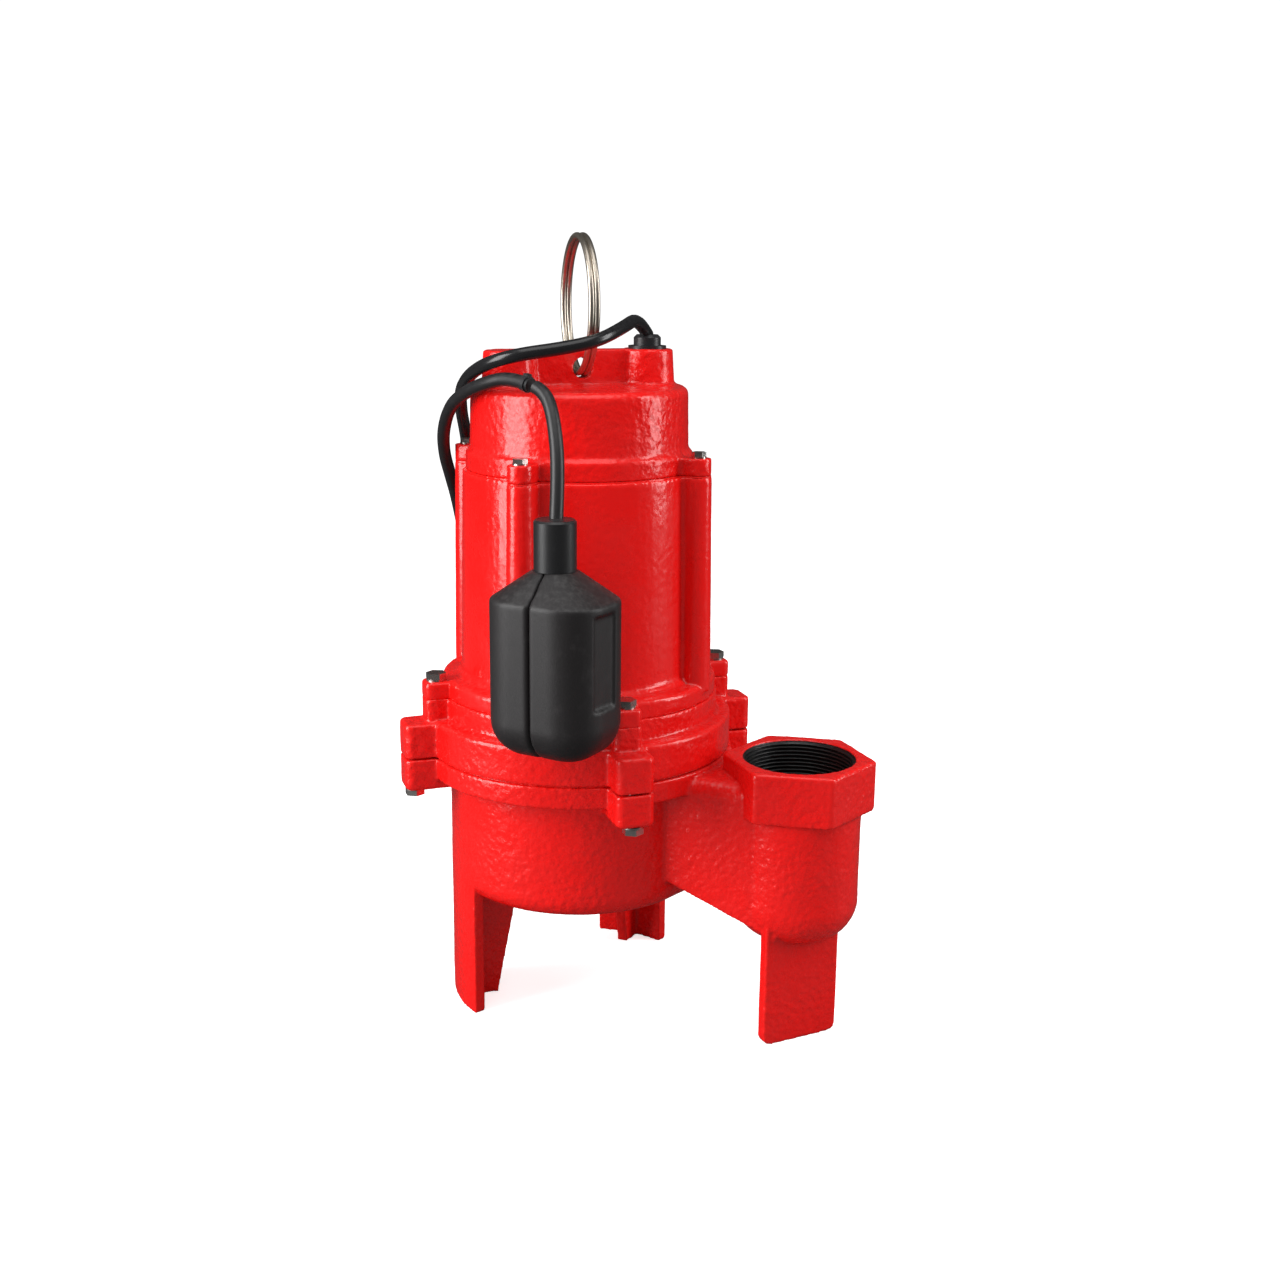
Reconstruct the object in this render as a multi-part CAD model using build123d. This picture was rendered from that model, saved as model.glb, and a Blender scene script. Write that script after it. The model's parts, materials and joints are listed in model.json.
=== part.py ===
from build123d import *
import math
import os

# ---------------------------------------------------------------- driving dimensions, mm
# Modelled about the pump axis with the floor at z = 0, then moved to the row's origin.
origin_x = 43.78
origin_y = -21.38

# volute casing
volute_bottom_z = 69.5
volute_top_z = 150.6
volute_floor = 7.5
volute_bottom_fillet = 12.0
scroll_radii = [74.5, 78.0, 84.0]
scroll_angles = [-20.0, -150.0, -240.0, -340.0]
volute_flange_r = 87.0
volute_flange_bottom_z = 139.0
cavity_r = 66.5
inlet_r = 28.5

# discharge: 2 inch NPT opening in a hexagonal mouth
discharge_x = 133.6
mouth_z = 159.0
mouth_opening_r = 29.2
thread_depth = 1.25
thread_pitch = 2.209
thread_turns = 9
mouth_depth = 26.0
hex_corner_r = 42.3
hex_angle = 13.1
hex_height = 28.0
elbow_r = 35.0
elbow_bottom_z = 56.0
elbow_bottom_fillet = 22.0
passage_r = 25.4
passage_z = 103.0
duct_half_width = 32.0
duct_top_z = 148.0
duct_start_x = 36.0
duct_start_z = 98.5
duct_end_z = 62.2

# feet
foot_wall = 7.0
side_foot_angle = -139.5
side_foot_span = 44.0
side_gusset_extra = 5.0
back_foot_angle = 88.0
back_foot_span = 34.0
back_foot_r = 79.5
gusset_top = 27.0
gusset_bottom = 13.0
plate_foot_width = 47.0
plate_foot_angle = -40.0

# seal plate and bolt ears
joint_gap = 0.8
seal_plate_bottom_z = volute_top_z + joint_gap
seal_plate_rim_r = 87.0
seal_plate_rim_top_z = 172.0
seal_plate_top_r = 79.0
seal_plate_top_z = 184.0
bolt_angle = -47.6
housing_bolt_r = 83.5
volute_bolt_r = 97.0
ear_half_width = 10.5
ear_reach = 103.5
upper_ear_half_width = 7.6
upper_ear_reach = 90.8
upper_ear_corner = 3.5
volute_ear_bottom_z = 132.5

# motor housing
housing_top_z = 309.0
housing_flange_r = 78.0
housing_flange_top_z = 194.0
barrel_r_bottom = 67.0
barrel_r_top = 65.0
barrel_bore_r = 59.0
column_bolt_r = 71.3
column_r = 7.2

# motor cap
cap_bottom_z = housing_top_z + joint_gap
cap_top_z = 355.5
cap_r = 60.0
cap_band_r = 63.0
cap_band_top_z = 321.0
cap_cavity_r = 55.0
cap_cavity_top_z = 349.0
boss_centre_r = 40.0
boss_r = 15.6
boss_top_z = 374.8
web_half_thickness = 6.0
web_hole_r = 5.6
web_hole_z = 365.0

# lift ring
ring_wire_r = 1.65
ring_mid_r = 36.6
ring_centre_z = 398.6
ring_turn_spacing = 3.1
ring_turn = 37.6

# fasteners
bolt_shank_r = 3.0
bolt_across_flats = 10.0
bolt_head = 3.2
washer_thickness = 1.2
washer_r = 5.4
screw_shank_r = 2.0
screw_hole_depth = 22.0
screw_across_flats = 7.0
screw_head = 2.4
screw_washer = 0.8
screw_washer_r = 4.1
screw_slot_width = 1.0
screw_slot_depth = 0.8

# gland
gland_flange_r = 10.6
gland_flange_height = 1.6
gland_nut_r = 7.6
gland_nut_height = 6.0
gland_thread_r = 6.6

# rotating parts
shaft_r = 8.5
shaft_upper_r = 7.5
shaft_lower_r = 6.35
shaft_bottom_z = 98.0
shaft_step_z = 160.0
shaft_top_z = 308.0
rotor_r = 32.5
stator_bore_r = 33.0
core_bottom_z = 206.0
core_top_z = 276.0
core_middle_z = (core_bottom_z + core_top_z) / 2
core_height = core_top_z - core_bottom_z

# float switch
float_x = 35.5
float_y = -102.7
float_half_width = 32.0
float_half_depth = 26.0
float_corner = 21.0
float_turn = -5.6
float_bottom_z = 177.4
float_side_top_z = 258.0
float_cone_top_z = 272.6
float_neck_top_z = 298.0
float_neck_r = 10.8
float_wall = 3.4
seam_width = 2.6
recess_floor_x = 29.9
recess_y = -3.8
recess_z = 230.0
recess_width = 17.5
recess_height = 48.0
recess_turn = -5.0
tether_r = 3.6
tie_width = 3.4
tie_thickness = 0.7

# bearings, shaft seal and impeller
seal_bore_r = 14.0
lower_bearing_low_z = 172.0
lower_bearing_width = 12.0
lower_bearing_r = 20.0
upper_bearing_low_z = 296.0
upper_bearing_width = 9.4
upper_bearing_r = 17.5
bearing_ball_count = 8
slot_count = 24
slot_centre_r = 41.5
slot_depth = 12.0
slot_width = 4.6
rotor_slot_depth = 1.6
rotor_slot_width = 1.2
end_turn_r = 49.0
end_turn_inner_r = 36.0
lower_end_turn = 14.0
upper_end_turn = 15.0
impeller_low_z = 92.0
impeller_disc_z = 127.0
impeller_top_z = 136.0
impeller_r = 58.0
impeller_vanes = 3

# cords and plugs
power_cord_r = 3.5
float_lead_r = 3.6
coil_mid_r = 44.0
coil_width = 24.0
coil_height = 21.0
coil_x = -112.7
coil_y = 179.0
plug_x = -38.0
plug_y = 196.0
plug_z = 15.0
plug_turn = -64.6


# ---------------------------------------------------------------- helpers
def at(x, y, z):
    return Location((x, y, z))


def polar(radius, angle, z=0.0):
    turn = math.radians(angle)
    return Vector(radius * math.cos(turn), radius * math.sin(turn), z)


def cylinder(radius, low, high, x=0.0, y=0.0):
    return at(x, y, (low + high) / 2) * Cylinder(radius, high - low)


def tube(outer, inner, low, high, x=0.0, y=0.0):
    return cylinder(outer, low, high, x, y) - cylinder(inner, low - 1, high + 1, x, y)


def hexagon(across_flats, low, high, x=0.0, y=0.0, turn=0.0):
    outline = RegularPolygon(across_flats / 2, 6, major_radius=False)
    return at(x, y, low) * Rot(0, 0, turn) * extrude(outline, high - low)


def revolved(points):
    return revolve(make_face(Plane.XZ * Polyline(*points, close=True)), Axis.Z)


def ear(half_width, reach, low, high, angle, inner=60.0, corner=4.5):
    block = at((inner + reach) / 2, 0, (low + high) / 2) * Box(reach - inner, 2 * half_width, high - low)
    outer_edges = block.edges().filter_by(Axis.Z).sort_by(Axis.X)[-2:]
    return Rot(0, 0, angle) * fillet(outer_edges, corner)


def ears(half_width, reach, low, high, **shape):
    return [ear(half_width, reach, low, high, bolt_angle + 90 * k, **shape) for k in range(4)]


def at_four(radius, first_angle):
    return [polar(radius, first_angle + 90 * k) for k in range(4)]


def fuse(base, *pieces):
    for piece in pieces:
        base = base + piece
    return base


def cut(base, *pieces):
    for piece in pieces:
        base = base - piece
    return base


written = {}


def save(name, *shapes):
    solids = []
    for shape in shapes:
        moved = at(-origin_x, -origin_y, 0) * shape
        solids.extend(moved.solids())
    body = solids[0] if len(solids) == 1 else Compound(children=solids)
    body.label = name
    export_step(body, f"parts/{name}.step")
    written[name] = body.bounding_box()


# ---------------------------------------------------------------- volute casing
def scroll_outline():
    centre = Vector(0, 0, 0)
    lines = []
    start = centre + polar(scroll_radii[0], scroll_angles[0])
    first = start
    for index, radius in enumerate(scroll_radii):
        if index > 0:
            grown = radius - scroll_radii[index - 1]
            centre = centre - polar(grown, scroll_angles[index])
        middle_angle = (scroll_angles[index] + scroll_angles[index + 1]) / 2
        middle = centre + polar(radius, middle_angle)
        end = centre + polar(radius, scroll_angles[index + 1])
        lines.append(ThreePointArc(start, middle, end))
        start = end
    lines.append(Line(start, first))
    return make_face(lines)


def side_foot(angle, span, radius, extra=0.0):
    top = volute_bottom_z + 14
    wall = Plane.XZ * Polyline((radius - foot_wall, 0), (radius, 0), (radius, top),
                               (radius - foot_wall, top), close=True)
    sector = Rot(0, 0, angle - span / 2) * revolve(make_face(wall), Axis.Z, revolution_arc=span)
    inner = radius - foot_wall + 1
    gusset_top_z = volute_bottom_z + 2
    profile = Plane.XZ * Polyline((inner, 0), (inner - gusset_bottom - extra, 0),
                                  (inner - gusset_top - extra, gusset_top_z), (inner, gusset_top_z),
                                  close=True)
    gusset = Rot(0, 0, angle) * extrude(make_face(profile), foot_wall / 2, both=True)
    return sector + gusset


def plate_foot():
    top = elbow_bottom_z + 16
    plate = at(0, 0, top / 2) * Box(foot_wall, plate_foot_width, top)
    low_edges = plate.edges().filter_by(Axis.X).sort_by(Axis.Z)[:2]
    plate = fillet(low_edges, 5.0)
    return at(discharge_x + 8.2, -14.2, 0) * Rot(0, 0, plate_foot_angle) * plate


def thread_grooves():
    grooves = []
    for turn in range(thread_turns):
        z = mouth_z - 3.0 - turn * thread_pitch
        crest = mouth_opening_r
        root = crest + thread_depth
        half = thread_pitch * 0.36
        outline = [(crest - 1.5, z - half), (crest, z - half), (root, z), (crest, z + half),
                   (crest - 1.5, z + half)]
        grooves.append(at(discharge_x, 0, 0) * revolved(outline))
    return grooves


def volute_casing():
    body = at(0, 0, volute_bottom_z) * extrude(scroll_outline(), volute_top_z - volute_bottom_z)
    bottom = body.faces().sort_by(Axis.Z)[0]
    rim = [edge for edge in bottom.edges() if edge.geom_type == GeomType.CIRCLE]
    body = fillet(rim, volute_bottom_fillet)
    flange = cylinder(volute_flange_r, volute_flange_bottom_z, volute_top_z)
    side = Plane.XZ * Polyline((duct_start_x, duct_start_z), (discharge_x, duct_end_z),
                               (discharge_x, duct_top_z), (duct_start_x, duct_top_z), close=True)
    duct = extrude(make_face(side), duct_half_width, both=True)
    duct = fillet(duct.edges().filter_by(Axis.X).sort_by(Axis.Z)[-2:], 8.0)
    elbow = cylinder(elbow_r, elbow_bottom_z, mouth_z - 4, discharge_x)
    elbow = fillet(elbow.edges().sort_by(Axis.Z)[0], elbow_bottom_fillet)
    mouth_hex = at(discharge_x, 0, mouth_z - hex_height) * Rot(0, 0, hex_angle) * extrude(
        RegularPolygon(hex_corner_r, 6, major_radius=True), hex_height)
    mouth_hex = chamfer(mouth_hex.edges().filter_by(Axis.Z), 0.8)
    mouth_hex = chamfer(mouth_hex.edges().group_by(Axis.Z)[-1], 0.8)
    casing = fuse(body, flange, duct, elbow, mouth_hex)
    for block in ears(ear_half_width, ear_reach, volute_ear_bottom_z, volute_top_z):
        casing = casing + chamfer(block.edges().group_by(Axis.Z)[0], 1.6)
    casing = fuse(casing, side_foot(side_foot_angle, side_foot_span, scroll_radii[0], side_gusset_extra),
                  side_foot(back_foot_angle, back_foot_span, back_foot_r), plate_foot())
    cavity_floor = volute_bottom_z + volute_floor
    cavity = cylinder(cavity_r, cavity_floor, volute_top_z + 1)
    cavity = fillet(cavity.edges().sort_by(Axis.Z)[0], 6.0)
    inlet = cylinder(inlet_r, volute_bottom_z - 1, cavity_floor + 1)
    passage = at(discharge_x / 2 + 20, 0, passage_z) * Rot(0, 90, 0) * Cylinder(
        passage_r, discharge_x - 40)
    riser = cylinder(passage_r + 0.6, passage_z, mouth_z + 1, discharge_x)
    turn_ball = at(discharge_x, 0, passage_z) * Sphere(passage_r + 0.6)
    opening = at(discharge_x, 0, 0) * revolved([
        (0, mouth_z + 1), (mouth_opening_r + 2.8, mouth_z + 1), (mouth_opening_r + 1.8, mouth_z),
        (mouth_opening_r, mouth_z - 1.8), (mouth_opening_r, mouth_z - mouth_depth),
        (0, mouth_z - mouth_depth)])
    casing = cut(casing, cavity, inlet, passage, riser, turn_ball, opening)
    casing = cut(casing, *thread_grooves())
    for centre in at_four(volute_bolt_r, bolt_angle):
        casing = casing - cylinder(bolt_shank_r + 0.4, volute_ear_bottom_z - 1, volute_top_z + 1,
                                   centre.X, centre.Y)
    return casing


def volute_gasket():
    return tube(volute_flange_r - 2, cavity_r + 6, volute_top_z, seal_plate_bottom_z)


# ---------------------------------------------------------------- seal plate
def seal_plate():
    plate = cylinder(seal_plate_rim_r, seal_plate_bottom_z, seal_plate_rim_top_z)
    plate = fillet(plate.edges().sort_by(Axis.Z)[-1], 2.0)
    plate = plate + cylinder(seal_plate_top_r, seal_plate_rim_top_z - 3, seal_plate_top_z)
    for block in ears(ear_half_width, ear_reach, seal_plate_bottom_z, seal_plate_rim_top_z - 1):
        plate = plate + chamfer(block.edges().group_by(Axis.Z)[-1], 1.2)
    for block in ears(upper_ear_half_width, upper_ear_reach, seal_plate_rim_top_z - 4, seal_plate_top_z,
                      corner=upper_ear_corner):
        plate = plate + block
    oil_chamber = tube(70.0, 29.0, 162.0, seal_plate_top_z + 1)
    seal_bore = cylinder(seal_bore_r, seal_plate_bottom_z - 1, lower_bearing_low_z)
    bearing_bore = cylinder(lower_bearing_r, lower_bearing_low_z, seal_plate_top_z + 1)
    plate = cut(plate, oil_chamber, seal_bore, bearing_bore)
    hole_end = seal_plate_rim_top_z - 6
    for centre in at_four(volute_bolt_r, bolt_angle):
        plate = plate - cylinder(bolt_shank_r, seal_plate_bottom_z - 1, hole_end, centre.X, centre.Y)
    for centre in at_four(housing_bolt_r, bolt_angle):
        plate = plate - cylinder(bolt_shank_r, hole_end, seal_plate_top_z + 1, centre.X, centre.Y)
    groove = tube(75.5, 72.5, seal_plate_top_z - 2.2, seal_plate_top_z + 1)
    return plate - groove


def seal_plate_oring():
    return tube(75.5, 72.5, seal_plate_top_z - 2.2, seal_plate_top_z)


def volute_bolts():
    pieces = []
    head_top = volute_ear_bottom_z - washer_thickness
    for centre in at_four(volute_bolt_r, bolt_angle):
        shank = cylinder(bolt_shank_r, head_top - 1, seal_plate_rim_top_z - 7, centre.X, centre.Y)
        head = hexagon(bolt_across_flats, head_top - bolt_head, head_top, centre.X, centre.Y, 11)
        pieces.append(head + shank)
    return pieces


def ring_washers(radius, first_angle, low, thickness, inner, outer):
    return [tube(outer, inner, low, low + thickness, centre.X, centre.Y)
            for centre in at_four(radius, first_angle)]


# ---------------------------------------------------------------- motor housing
def motor_housing():
    low = seal_plate_top_z
    flange_top = housing_flange_top_z
    barrel = revolved([(0, low), (housing_flange_r, low), (housing_flange_r, flange_top - 1.5),
                       (housing_flange_r - 1.5, flange_top), (barrel_r_bottom + 2.6, flange_top + 0.6),
                       (barrel_r_bottom + 2.0, flange_top + 2.4), (barrel_r_bottom + 0.4, flange_top + 3.2),
                       (barrel_r_bottom, flange_top + 6),
                       (barrel_r_top, housing_top_z), (0, housing_top_z)])
    column_low = flange_top - 4
    for k in range(4):
        centre = polar(column_bolt_r, 90 * k)
        column = at(centre.X, centre.Y, column_low) * extrude(
            Circle(column_r + 1.6), housing_top_z - column_low, taper=0.8)
        root = at(column_bolt_r * 0.92, 0, (flange_top + housing_top_z) / 2) * Box(
            9.0, 15.0, housing_top_z - flange_top)
        barrel = fuse(barrel, column, Rot(0, 0, 90 * k) * root)
    for block in ears(upper_ear_half_width, upper_ear_reach, low, housing_flange_top_z - 0.5,
                      corner=upper_ear_corner):
        barrel = barrel + chamfer(block.edges().group_by(Axis.Z)[-1], 1.0)
    bore = cylinder(barrel_bore_r, low - 1, housing_top_z + 1)
    barrel = barrel - bore
    for centre in at_four(housing_bolt_r, bolt_angle):
        barrel = barrel - cylinder(bolt_shank_r + 0.4, low - 1, flange_top + 1, centre.X, centre.Y)
    for centre in at_four(column_bolt_r, -90):
        barrel = barrel - cylinder(screw_shank_r, housing_top_z - screw_hole_depth, housing_top_z + 1,
                                   centre.X, centre.Y)
    return barrel


def housing_bolts():
    pieces = []
    head_low = housing_flange_top_z - 0.5 + washer_thickness
    for centre in at_four(housing_bolt_r, bolt_angle):
        shank = cylinder(bolt_shank_r, seal_plate_rim_top_z - 5, head_low + 1, centre.X, centre.Y)
        head = hexagon(bolt_across_flats, head_low, head_low + bolt_head, centre.X, centre.Y, 20)
        pieces.append(head + shank)
    return pieces


# ---------------------------------------------------------------- motor cap
def cap_ears(low, high):
    pieces = []
    for centre in at_four(column_bolt_r, -90):
        angle = math.degrees(math.atan2(centre.Y, centre.X))
        lug = cylinder(6.9, low, high, centre.X, centre.Y)
        neck = at(centre.X * 0.9, centre.Y * 0.9, (low + high) / 2) * Rot(0, 0, angle) * Box(
            14.0, 13.8, high - low)
        pieces.append(lug + neck)
    return pieces


def motor_cap():
    shell = revolved([(0, cap_bottom_z), (cap_band_r, cap_bottom_z), (cap_band_r, cap_band_top_z - 1.5),
                      (cap_band_r - 1.5, cap_band_top_z), (cap_r + 0.6, cap_band_top_z + 1.2),
                      (cap_r, cap_top_z), (0, cap_top_z)])
    top_edge = shell.edges().filter_by(GeomType.CIRCLE).sort_by(Axis.Z)[-1]
    shell = fillet(top_edge, 4.5)
    bar_length = 2 * boss_centre_r
    web = at(0, 0, (cap_top_z - 5 + boss_top_z) / 2) * Rot(0, 0, 45) * Box(
        bar_length, 2 * web_half_thickness, boss_top_z - cap_top_z + 5)
    shell = shell + web
    for angle in (45, -135):
        centre = polar(boss_centre_r, angle)
        boss = at(centre.X, centre.Y, cap_top_z - 5) * extrude(
            Circle(boss_r), boss_top_z - cap_top_z + 5, taper=3)
        boss = fillet(boss.edges().sort_by(Axis.Z)[-1], 1.2)
        shell = shell + boss
    shell = fuse(shell, *cap_ears(cap_bottom_z, cap_band_top_z - 1.8))
    hole = at(0, 0, web_hole_z) * Rot(0, 0, -45) * Rot(0, 90, 0) * Cylinder(web_hole_r, 40)
    cavity = cylinder(cap_cavity_r, cap_bottom_z - 1, cap_cavity_top_z)
    cavity = fillet(cavity.edges().sort_by(Axis.Z)[-1], 5.0)
    gland_at = polar(boss_centre_r, 45)
    gland_hole = cylinder(gland_thread_r, cap_cavity_top_z - 2, boss_top_z + 1, gland_at.X, gland_at.Y)
    shell = cut(shell, hole, cavity, gland_hole)
    for centre in at_four(column_bolt_r, -90):
        shell = shell - cylinder(screw_shank_r + 0.3, cap_bottom_z - 1, cap_band_top_z + 1,
                                 centre.X, centre.Y)
    return shell


def cap_gasket():
    ring = tube(cap_band_r, barrel_bore_r + 1, housing_top_z, cap_bottom_z)
    ring = fuse(ring, *cap_ears(housing_top_z, cap_bottom_z))
    ring = ring - cylinder(barrel_bore_r + 1, housing_top_z - 1, cap_bottom_z + 1)
    for centre in at_four(column_bolt_r, -90):
        ring = ring - cylinder(screw_shank_r + 0.3, housing_top_z - 1, cap_bottom_z + 1, centre.X, centre.Y)
    return ring


def cap_screws():
    pieces = []
    head_low = cap_band_top_z - 1.8 + screw_washer
    for centre in at_four(column_bolt_r, -90):
        shank = cylinder(screw_shank_r, housing_top_z - 20, head_low + 1, centre.X, centre.Y)
        head = hexagon(screw_across_flats, head_low, head_low + screw_head, centre.X, centre.Y, 15)
        slot = at(centre.X, centre.Y, head_low + screw_head) * Rot(0, 0, 25) * Box(
            12, screw_slot_width, 2 * screw_slot_depth)
        pieces.append(head + shank - slot)
    return pieces


def lift_ring():
    along_bar = Rot(0, 0, ring_turn) * Rot(0, 90, 0)
    turns = [at(0, 0, ring_centre_z) * along_bar * at(0, 0, offset) * Torus(ring_mid_r, ring_wire_r)
             for offset in (-ring_turn_spacing / 2, ring_turn_spacing / 2)]
    return turns[0] + turns[1]


# ---------------------------------------------------------------- cord gland
def gland_centre():
    return polar(boss_centre_r, 45)


def gland_body():
    centre = gland_centre()
    thread = tube(gland_thread_r, 4.2, cap_cavity_top_z - 4, boss_top_z, centre.X, centre.Y)
    flange = tube(gland_flange_r, 4.2, boss_top_z, boss_top_z + gland_flange_height, centre.X, centre.Y)
    return thread + flange


def gland_nut():
    centre = gland_centre()
    low = boss_top_z + gland_flange_height
    nut = cylinder(gland_nut_r, low, low + gland_nut_height, centre.X, centre.Y)
    nut = chamfer(nut.edges().sort_by(Axis.Z)[-1], 1.6)
    return nut - cylinder(5.2, low - 1, low + gland_nut_height + 1, centre.X, centre.Y)


def gland_grommet():
    centre = gland_centre()
    low = boss_top_z + gland_flange_height
    return cylinder(5.2, low, low + gland_nut_height, centre.X, centre.Y)


# ---------------------------------------------------------------- shaft, rotor, stator
def shaft():
    return revolved([(0, shaft_bottom_z), (shaft_lower_r, shaft_bottom_z),
                     (shaft_lower_r, shaft_step_z - 2), (shaft_r, shaft_step_z),
                     (shaft_r, upper_bearing_low_z), (shaft_upper_r, upper_bearing_low_z),
                     (shaft_upper_r, shaft_top_z), (0, shaft_top_z)])


def rotor_core():
    core = tube(rotor_r, shaft_r, core_bottom_z, core_top_z)
    slots = []
    for k in range(slot_count):
        bar_at = polar(rotor_r, 360 / slot_count * k)
        slots.append(at(bar_at.X, bar_at.Y, core_middle_z) * Rot(0, 0, 360 / slot_count * k) * Box(
            rotor_slot_depth, rotor_slot_width, core_height + 2))
    return cut(core, *slots)


def rotor_end_rings():
    return [tube(rotor_r - 1.5, 20, core_bottom_z - 6, core_bottom_z),
            tube(rotor_r - 1.5, 20, core_top_z, core_top_z + 6)]


def stator_core():
    core = tube(barrel_bore_r, stator_bore_r, core_bottom_z, core_top_z)
    slots = []
    for k in range(slot_count):
        slot_at = polar(slot_centre_r, 360 / slot_count * k)
        slots.append(at(slot_at.X, slot_at.Y, core_middle_z) * Rot(0, 0, 360 / slot_count * k) * Box(
            slot_depth, slot_width, core_height + 2))
    return cut(core, *slots)


def end_turn(low, high):
    ring = tube(end_turn_r, end_turn_inner_r, low, high)
    return fillet(ring.edges(), 3.0)


def stator_windings():
    lower = end_turn(core_bottom_z - lower_end_turn, core_bottom_z)
    upper = end_turn(core_top_z, core_top_z + upper_end_turn)
    bars = []
    for k in range(slot_count):
        slot_at = polar(slot_centre_r, 360 / slot_count * k)
        bars.append(at(slot_at.X, slot_at.Y, core_middle_z) * Rot(0, 0, 360 / slot_count * k) * Box(
            slot_depth - 2.0, slot_width - 0.8, core_height + 6))
    return fuse(lower, *bars, upper)


def bearing(low, width, bore, outer):
    """outer ring, inner ring, balls and cage of a deep-groove ball bearing on the pump axis"""
    middle = (bore + outer) / 2
    ball = (outer - bore) * 0.28
    z = low + width / 2
    race = at(0, 0, z) * Torus(middle, ball + 0.05)
    outer_ring = tube(outer, middle + ball * 0.62, low, low + width) - race
    inner_ring = tube(middle - ball * 0.62, bore, low, low + width) - race
    turns = [360 * k / bearing_ball_count for k in range(bearing_ball_count)]
    centres = [polar(middle, turn) for turn in turns]
    balls = [at(centre.X, centre.Y, z) * Sphere(ball) for centre in centres]
    cage = tube(middle + 0.9, middle - 0.9, z - ball - 1.2, z + ball + 1.2)
    for turn in turns:
        pocket = Rot(0, 0, turn) * at(middle, 0, z) * Rot(0, 90, 0) * Cylinder(ball + 0.08, 6)
        cage = cage - pocket
    return outer_ring, inner_ring, balls, cage


def bearing_bracket():
    disc = revolved([(0, 303), (barrel_bore_r - 6, 303), (barrel_bore_r - 6, 300), (barrel_bore_r, 300),
                     (barrel_bore_r, housing_top_z), (0, housing_top_z)])
    hub = cylinder(24.0, 295, housing_top_z)
    bracket = disc + hub - cylinder(17.5, 294, 306) - cylinder(12.0, 305, housing_top_z + 1)
    for k in range(4):
        window = polar(38, 45 + 90 * k)
        bracket = bracket - cylinder(10.0, 299, housing_top_z + 1, window.X, window.Y)
    return bracket


def wave_washer():
    return tube(17.2, 12.6, 306 - 0.6, 306)


def retaining_ring():
    ring = tube(20.8, 17.6, seal_plate_top_z, seal_plate_top_z + 1.2)
    return ring - at(20, 0, seal_plate_top_z + 0.6) * Box(14, 5, 3)


# ---------------------------------------------------------------- shaft seal and impeller
def seal_seat():
    return tube(12.0, 7.2, seal_plate_bottom_z, seal_plate_bottom_z + 6)


def seal_seat_cup():
    cup = tube(seal_bore_r, 12.0, seal_plate_bottom_z, seal_plate_bottom_z + 8)
    return cup + tube(seal_bore_r, 9.6, seal_plate_bottom_z + 6, seal_plate_bottom_z + 8)


def seal_head():
    return tube(11.0, shaft_lower_r, seal_plate_bottom_z - 5, seal_plate_bottom_z - 0.05)


def seal_bellows():
    top = seal_plate_bottom_z - 5
    folds = 4
    pitch = 2.6
    points = [(shaft_lower_r, top), (9.5, top)]
    for k in range(folds):
        points.append((12.0, top - pitch * (k + 0.5)))
        points.append((9.5, top - pitch * (k + 1)))
    points.append((shaft_lower_r, top - pitch * folds))
    return revolved(points)


def impeller():
    hub = tube(12.0, shaft_lower_r, 104, impeller_top_z)
    disc = tube(impeller_r, 11.0, impeller_disc_z, impeller_disc_z + 6)
    wheel = hub + disc
    for k in range(impeller_vanes):
        arc_out = ThreePointArc((9, 2.5), (34, 16.5), (57.0, 6.5))
        arc_in = ThreePointArc((9, -2.5), (34, 11.5), (57.0, 1.5))
        outline = make_face([arc_out, Line((57.0, 6.5), (57.0, 1.5)), arc_in, Line((9, -2.5), (9, 2.5))])
        vane = at(0, 0, impeller_low_z) * extrude(outline, impeller_disc_z + 1 - impeller_low_z)
        wheel = wheel + Rot(0, 0, 360 / impeller_vanes * k) * vane
    return wheel - cylinder(shaft_lower_r, 80, 104.5) - cylinder(10.5, 90, 104)


def impeller_nut():
    return hexagon(15.0, 99.5, 104, 0, 0) - cylinder(shaft_lower_r, 90, 110)


# ---------------------------------------------------------------- electrical parts
def capacitor():
    body = at(-8, -22, 328) * Rot(0, 90, 0) * Cylinder(15.5, 62)
    body = chamfer(body.edges().filter_by(GeomType.CIRCLE), 1.5)
    tabs = [at(26, -22 + side, 328) * Box(7, 1, 6) for side in (-6, 6)]
    return fuse(body, *tabs)


def capacitor_strap():
    band = at(-8, -22, 328) * Rot(0, 90, 0) * (Cylinder(16.7, 12) - Cylinder(15.5, 14))
    foot = at(-8, -22, 310.9) * Box(12, 44, 1.4)
    return band + foot


def thermal_protector():
    return at(0, 52.5, 283) * Box(16, 6, 14)


def motor_leads():
    runs = []
    for x, y in ((26, 24), (30, 29), (24, 31)):
        runs.append(cylinder(1.3, 292, 331, x, y))
    return runs


# ---------------------------------------------------------------- float switch
def float_section(inset=0.0):
    return RectangleRounded(2 * (float_half_width - inset), 2 * (float_half_depth - inset),
                            float_corner - inset)


def placed_on_float(shape):
    return at(float_x, float_y, 0) * Rot(0, 0, float_turn) * shape


def float_body():
    height = float_side_top_z - float_bottom_z
    body = at(0, 0, float_bottom_z) * extrude(float_section(), height)
    body = fillet(body.edges().group_by(Axis.Z)[0], 19.0)
    cone = loft([at(0, 0, float_side_top_z) * float_section(),
                 at(0, 0, float_cone_top_z) * RectangleRounded(23, 23, 11.4)])
    return body + cone


def float_hollow():
    height = float_side_top_z - float_bottom_z - float_wall
    room = at(0, 0, float_bottom_z + float_wall) * extrude(float_section(float_wall), height)
    return fillet(room.edges().group_by(Axis.Z)[0], 17.0)


def float_recess():
    """shallow rectangular panel sunk in the right shell's rounded end"""
    panel = at(5, 0, 0) * Box(10, recess_width, recess_height)
    return at(recess_floor_x, recess_y, recess_z) * Rot(0, 0, recess_turn) * panel


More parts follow.
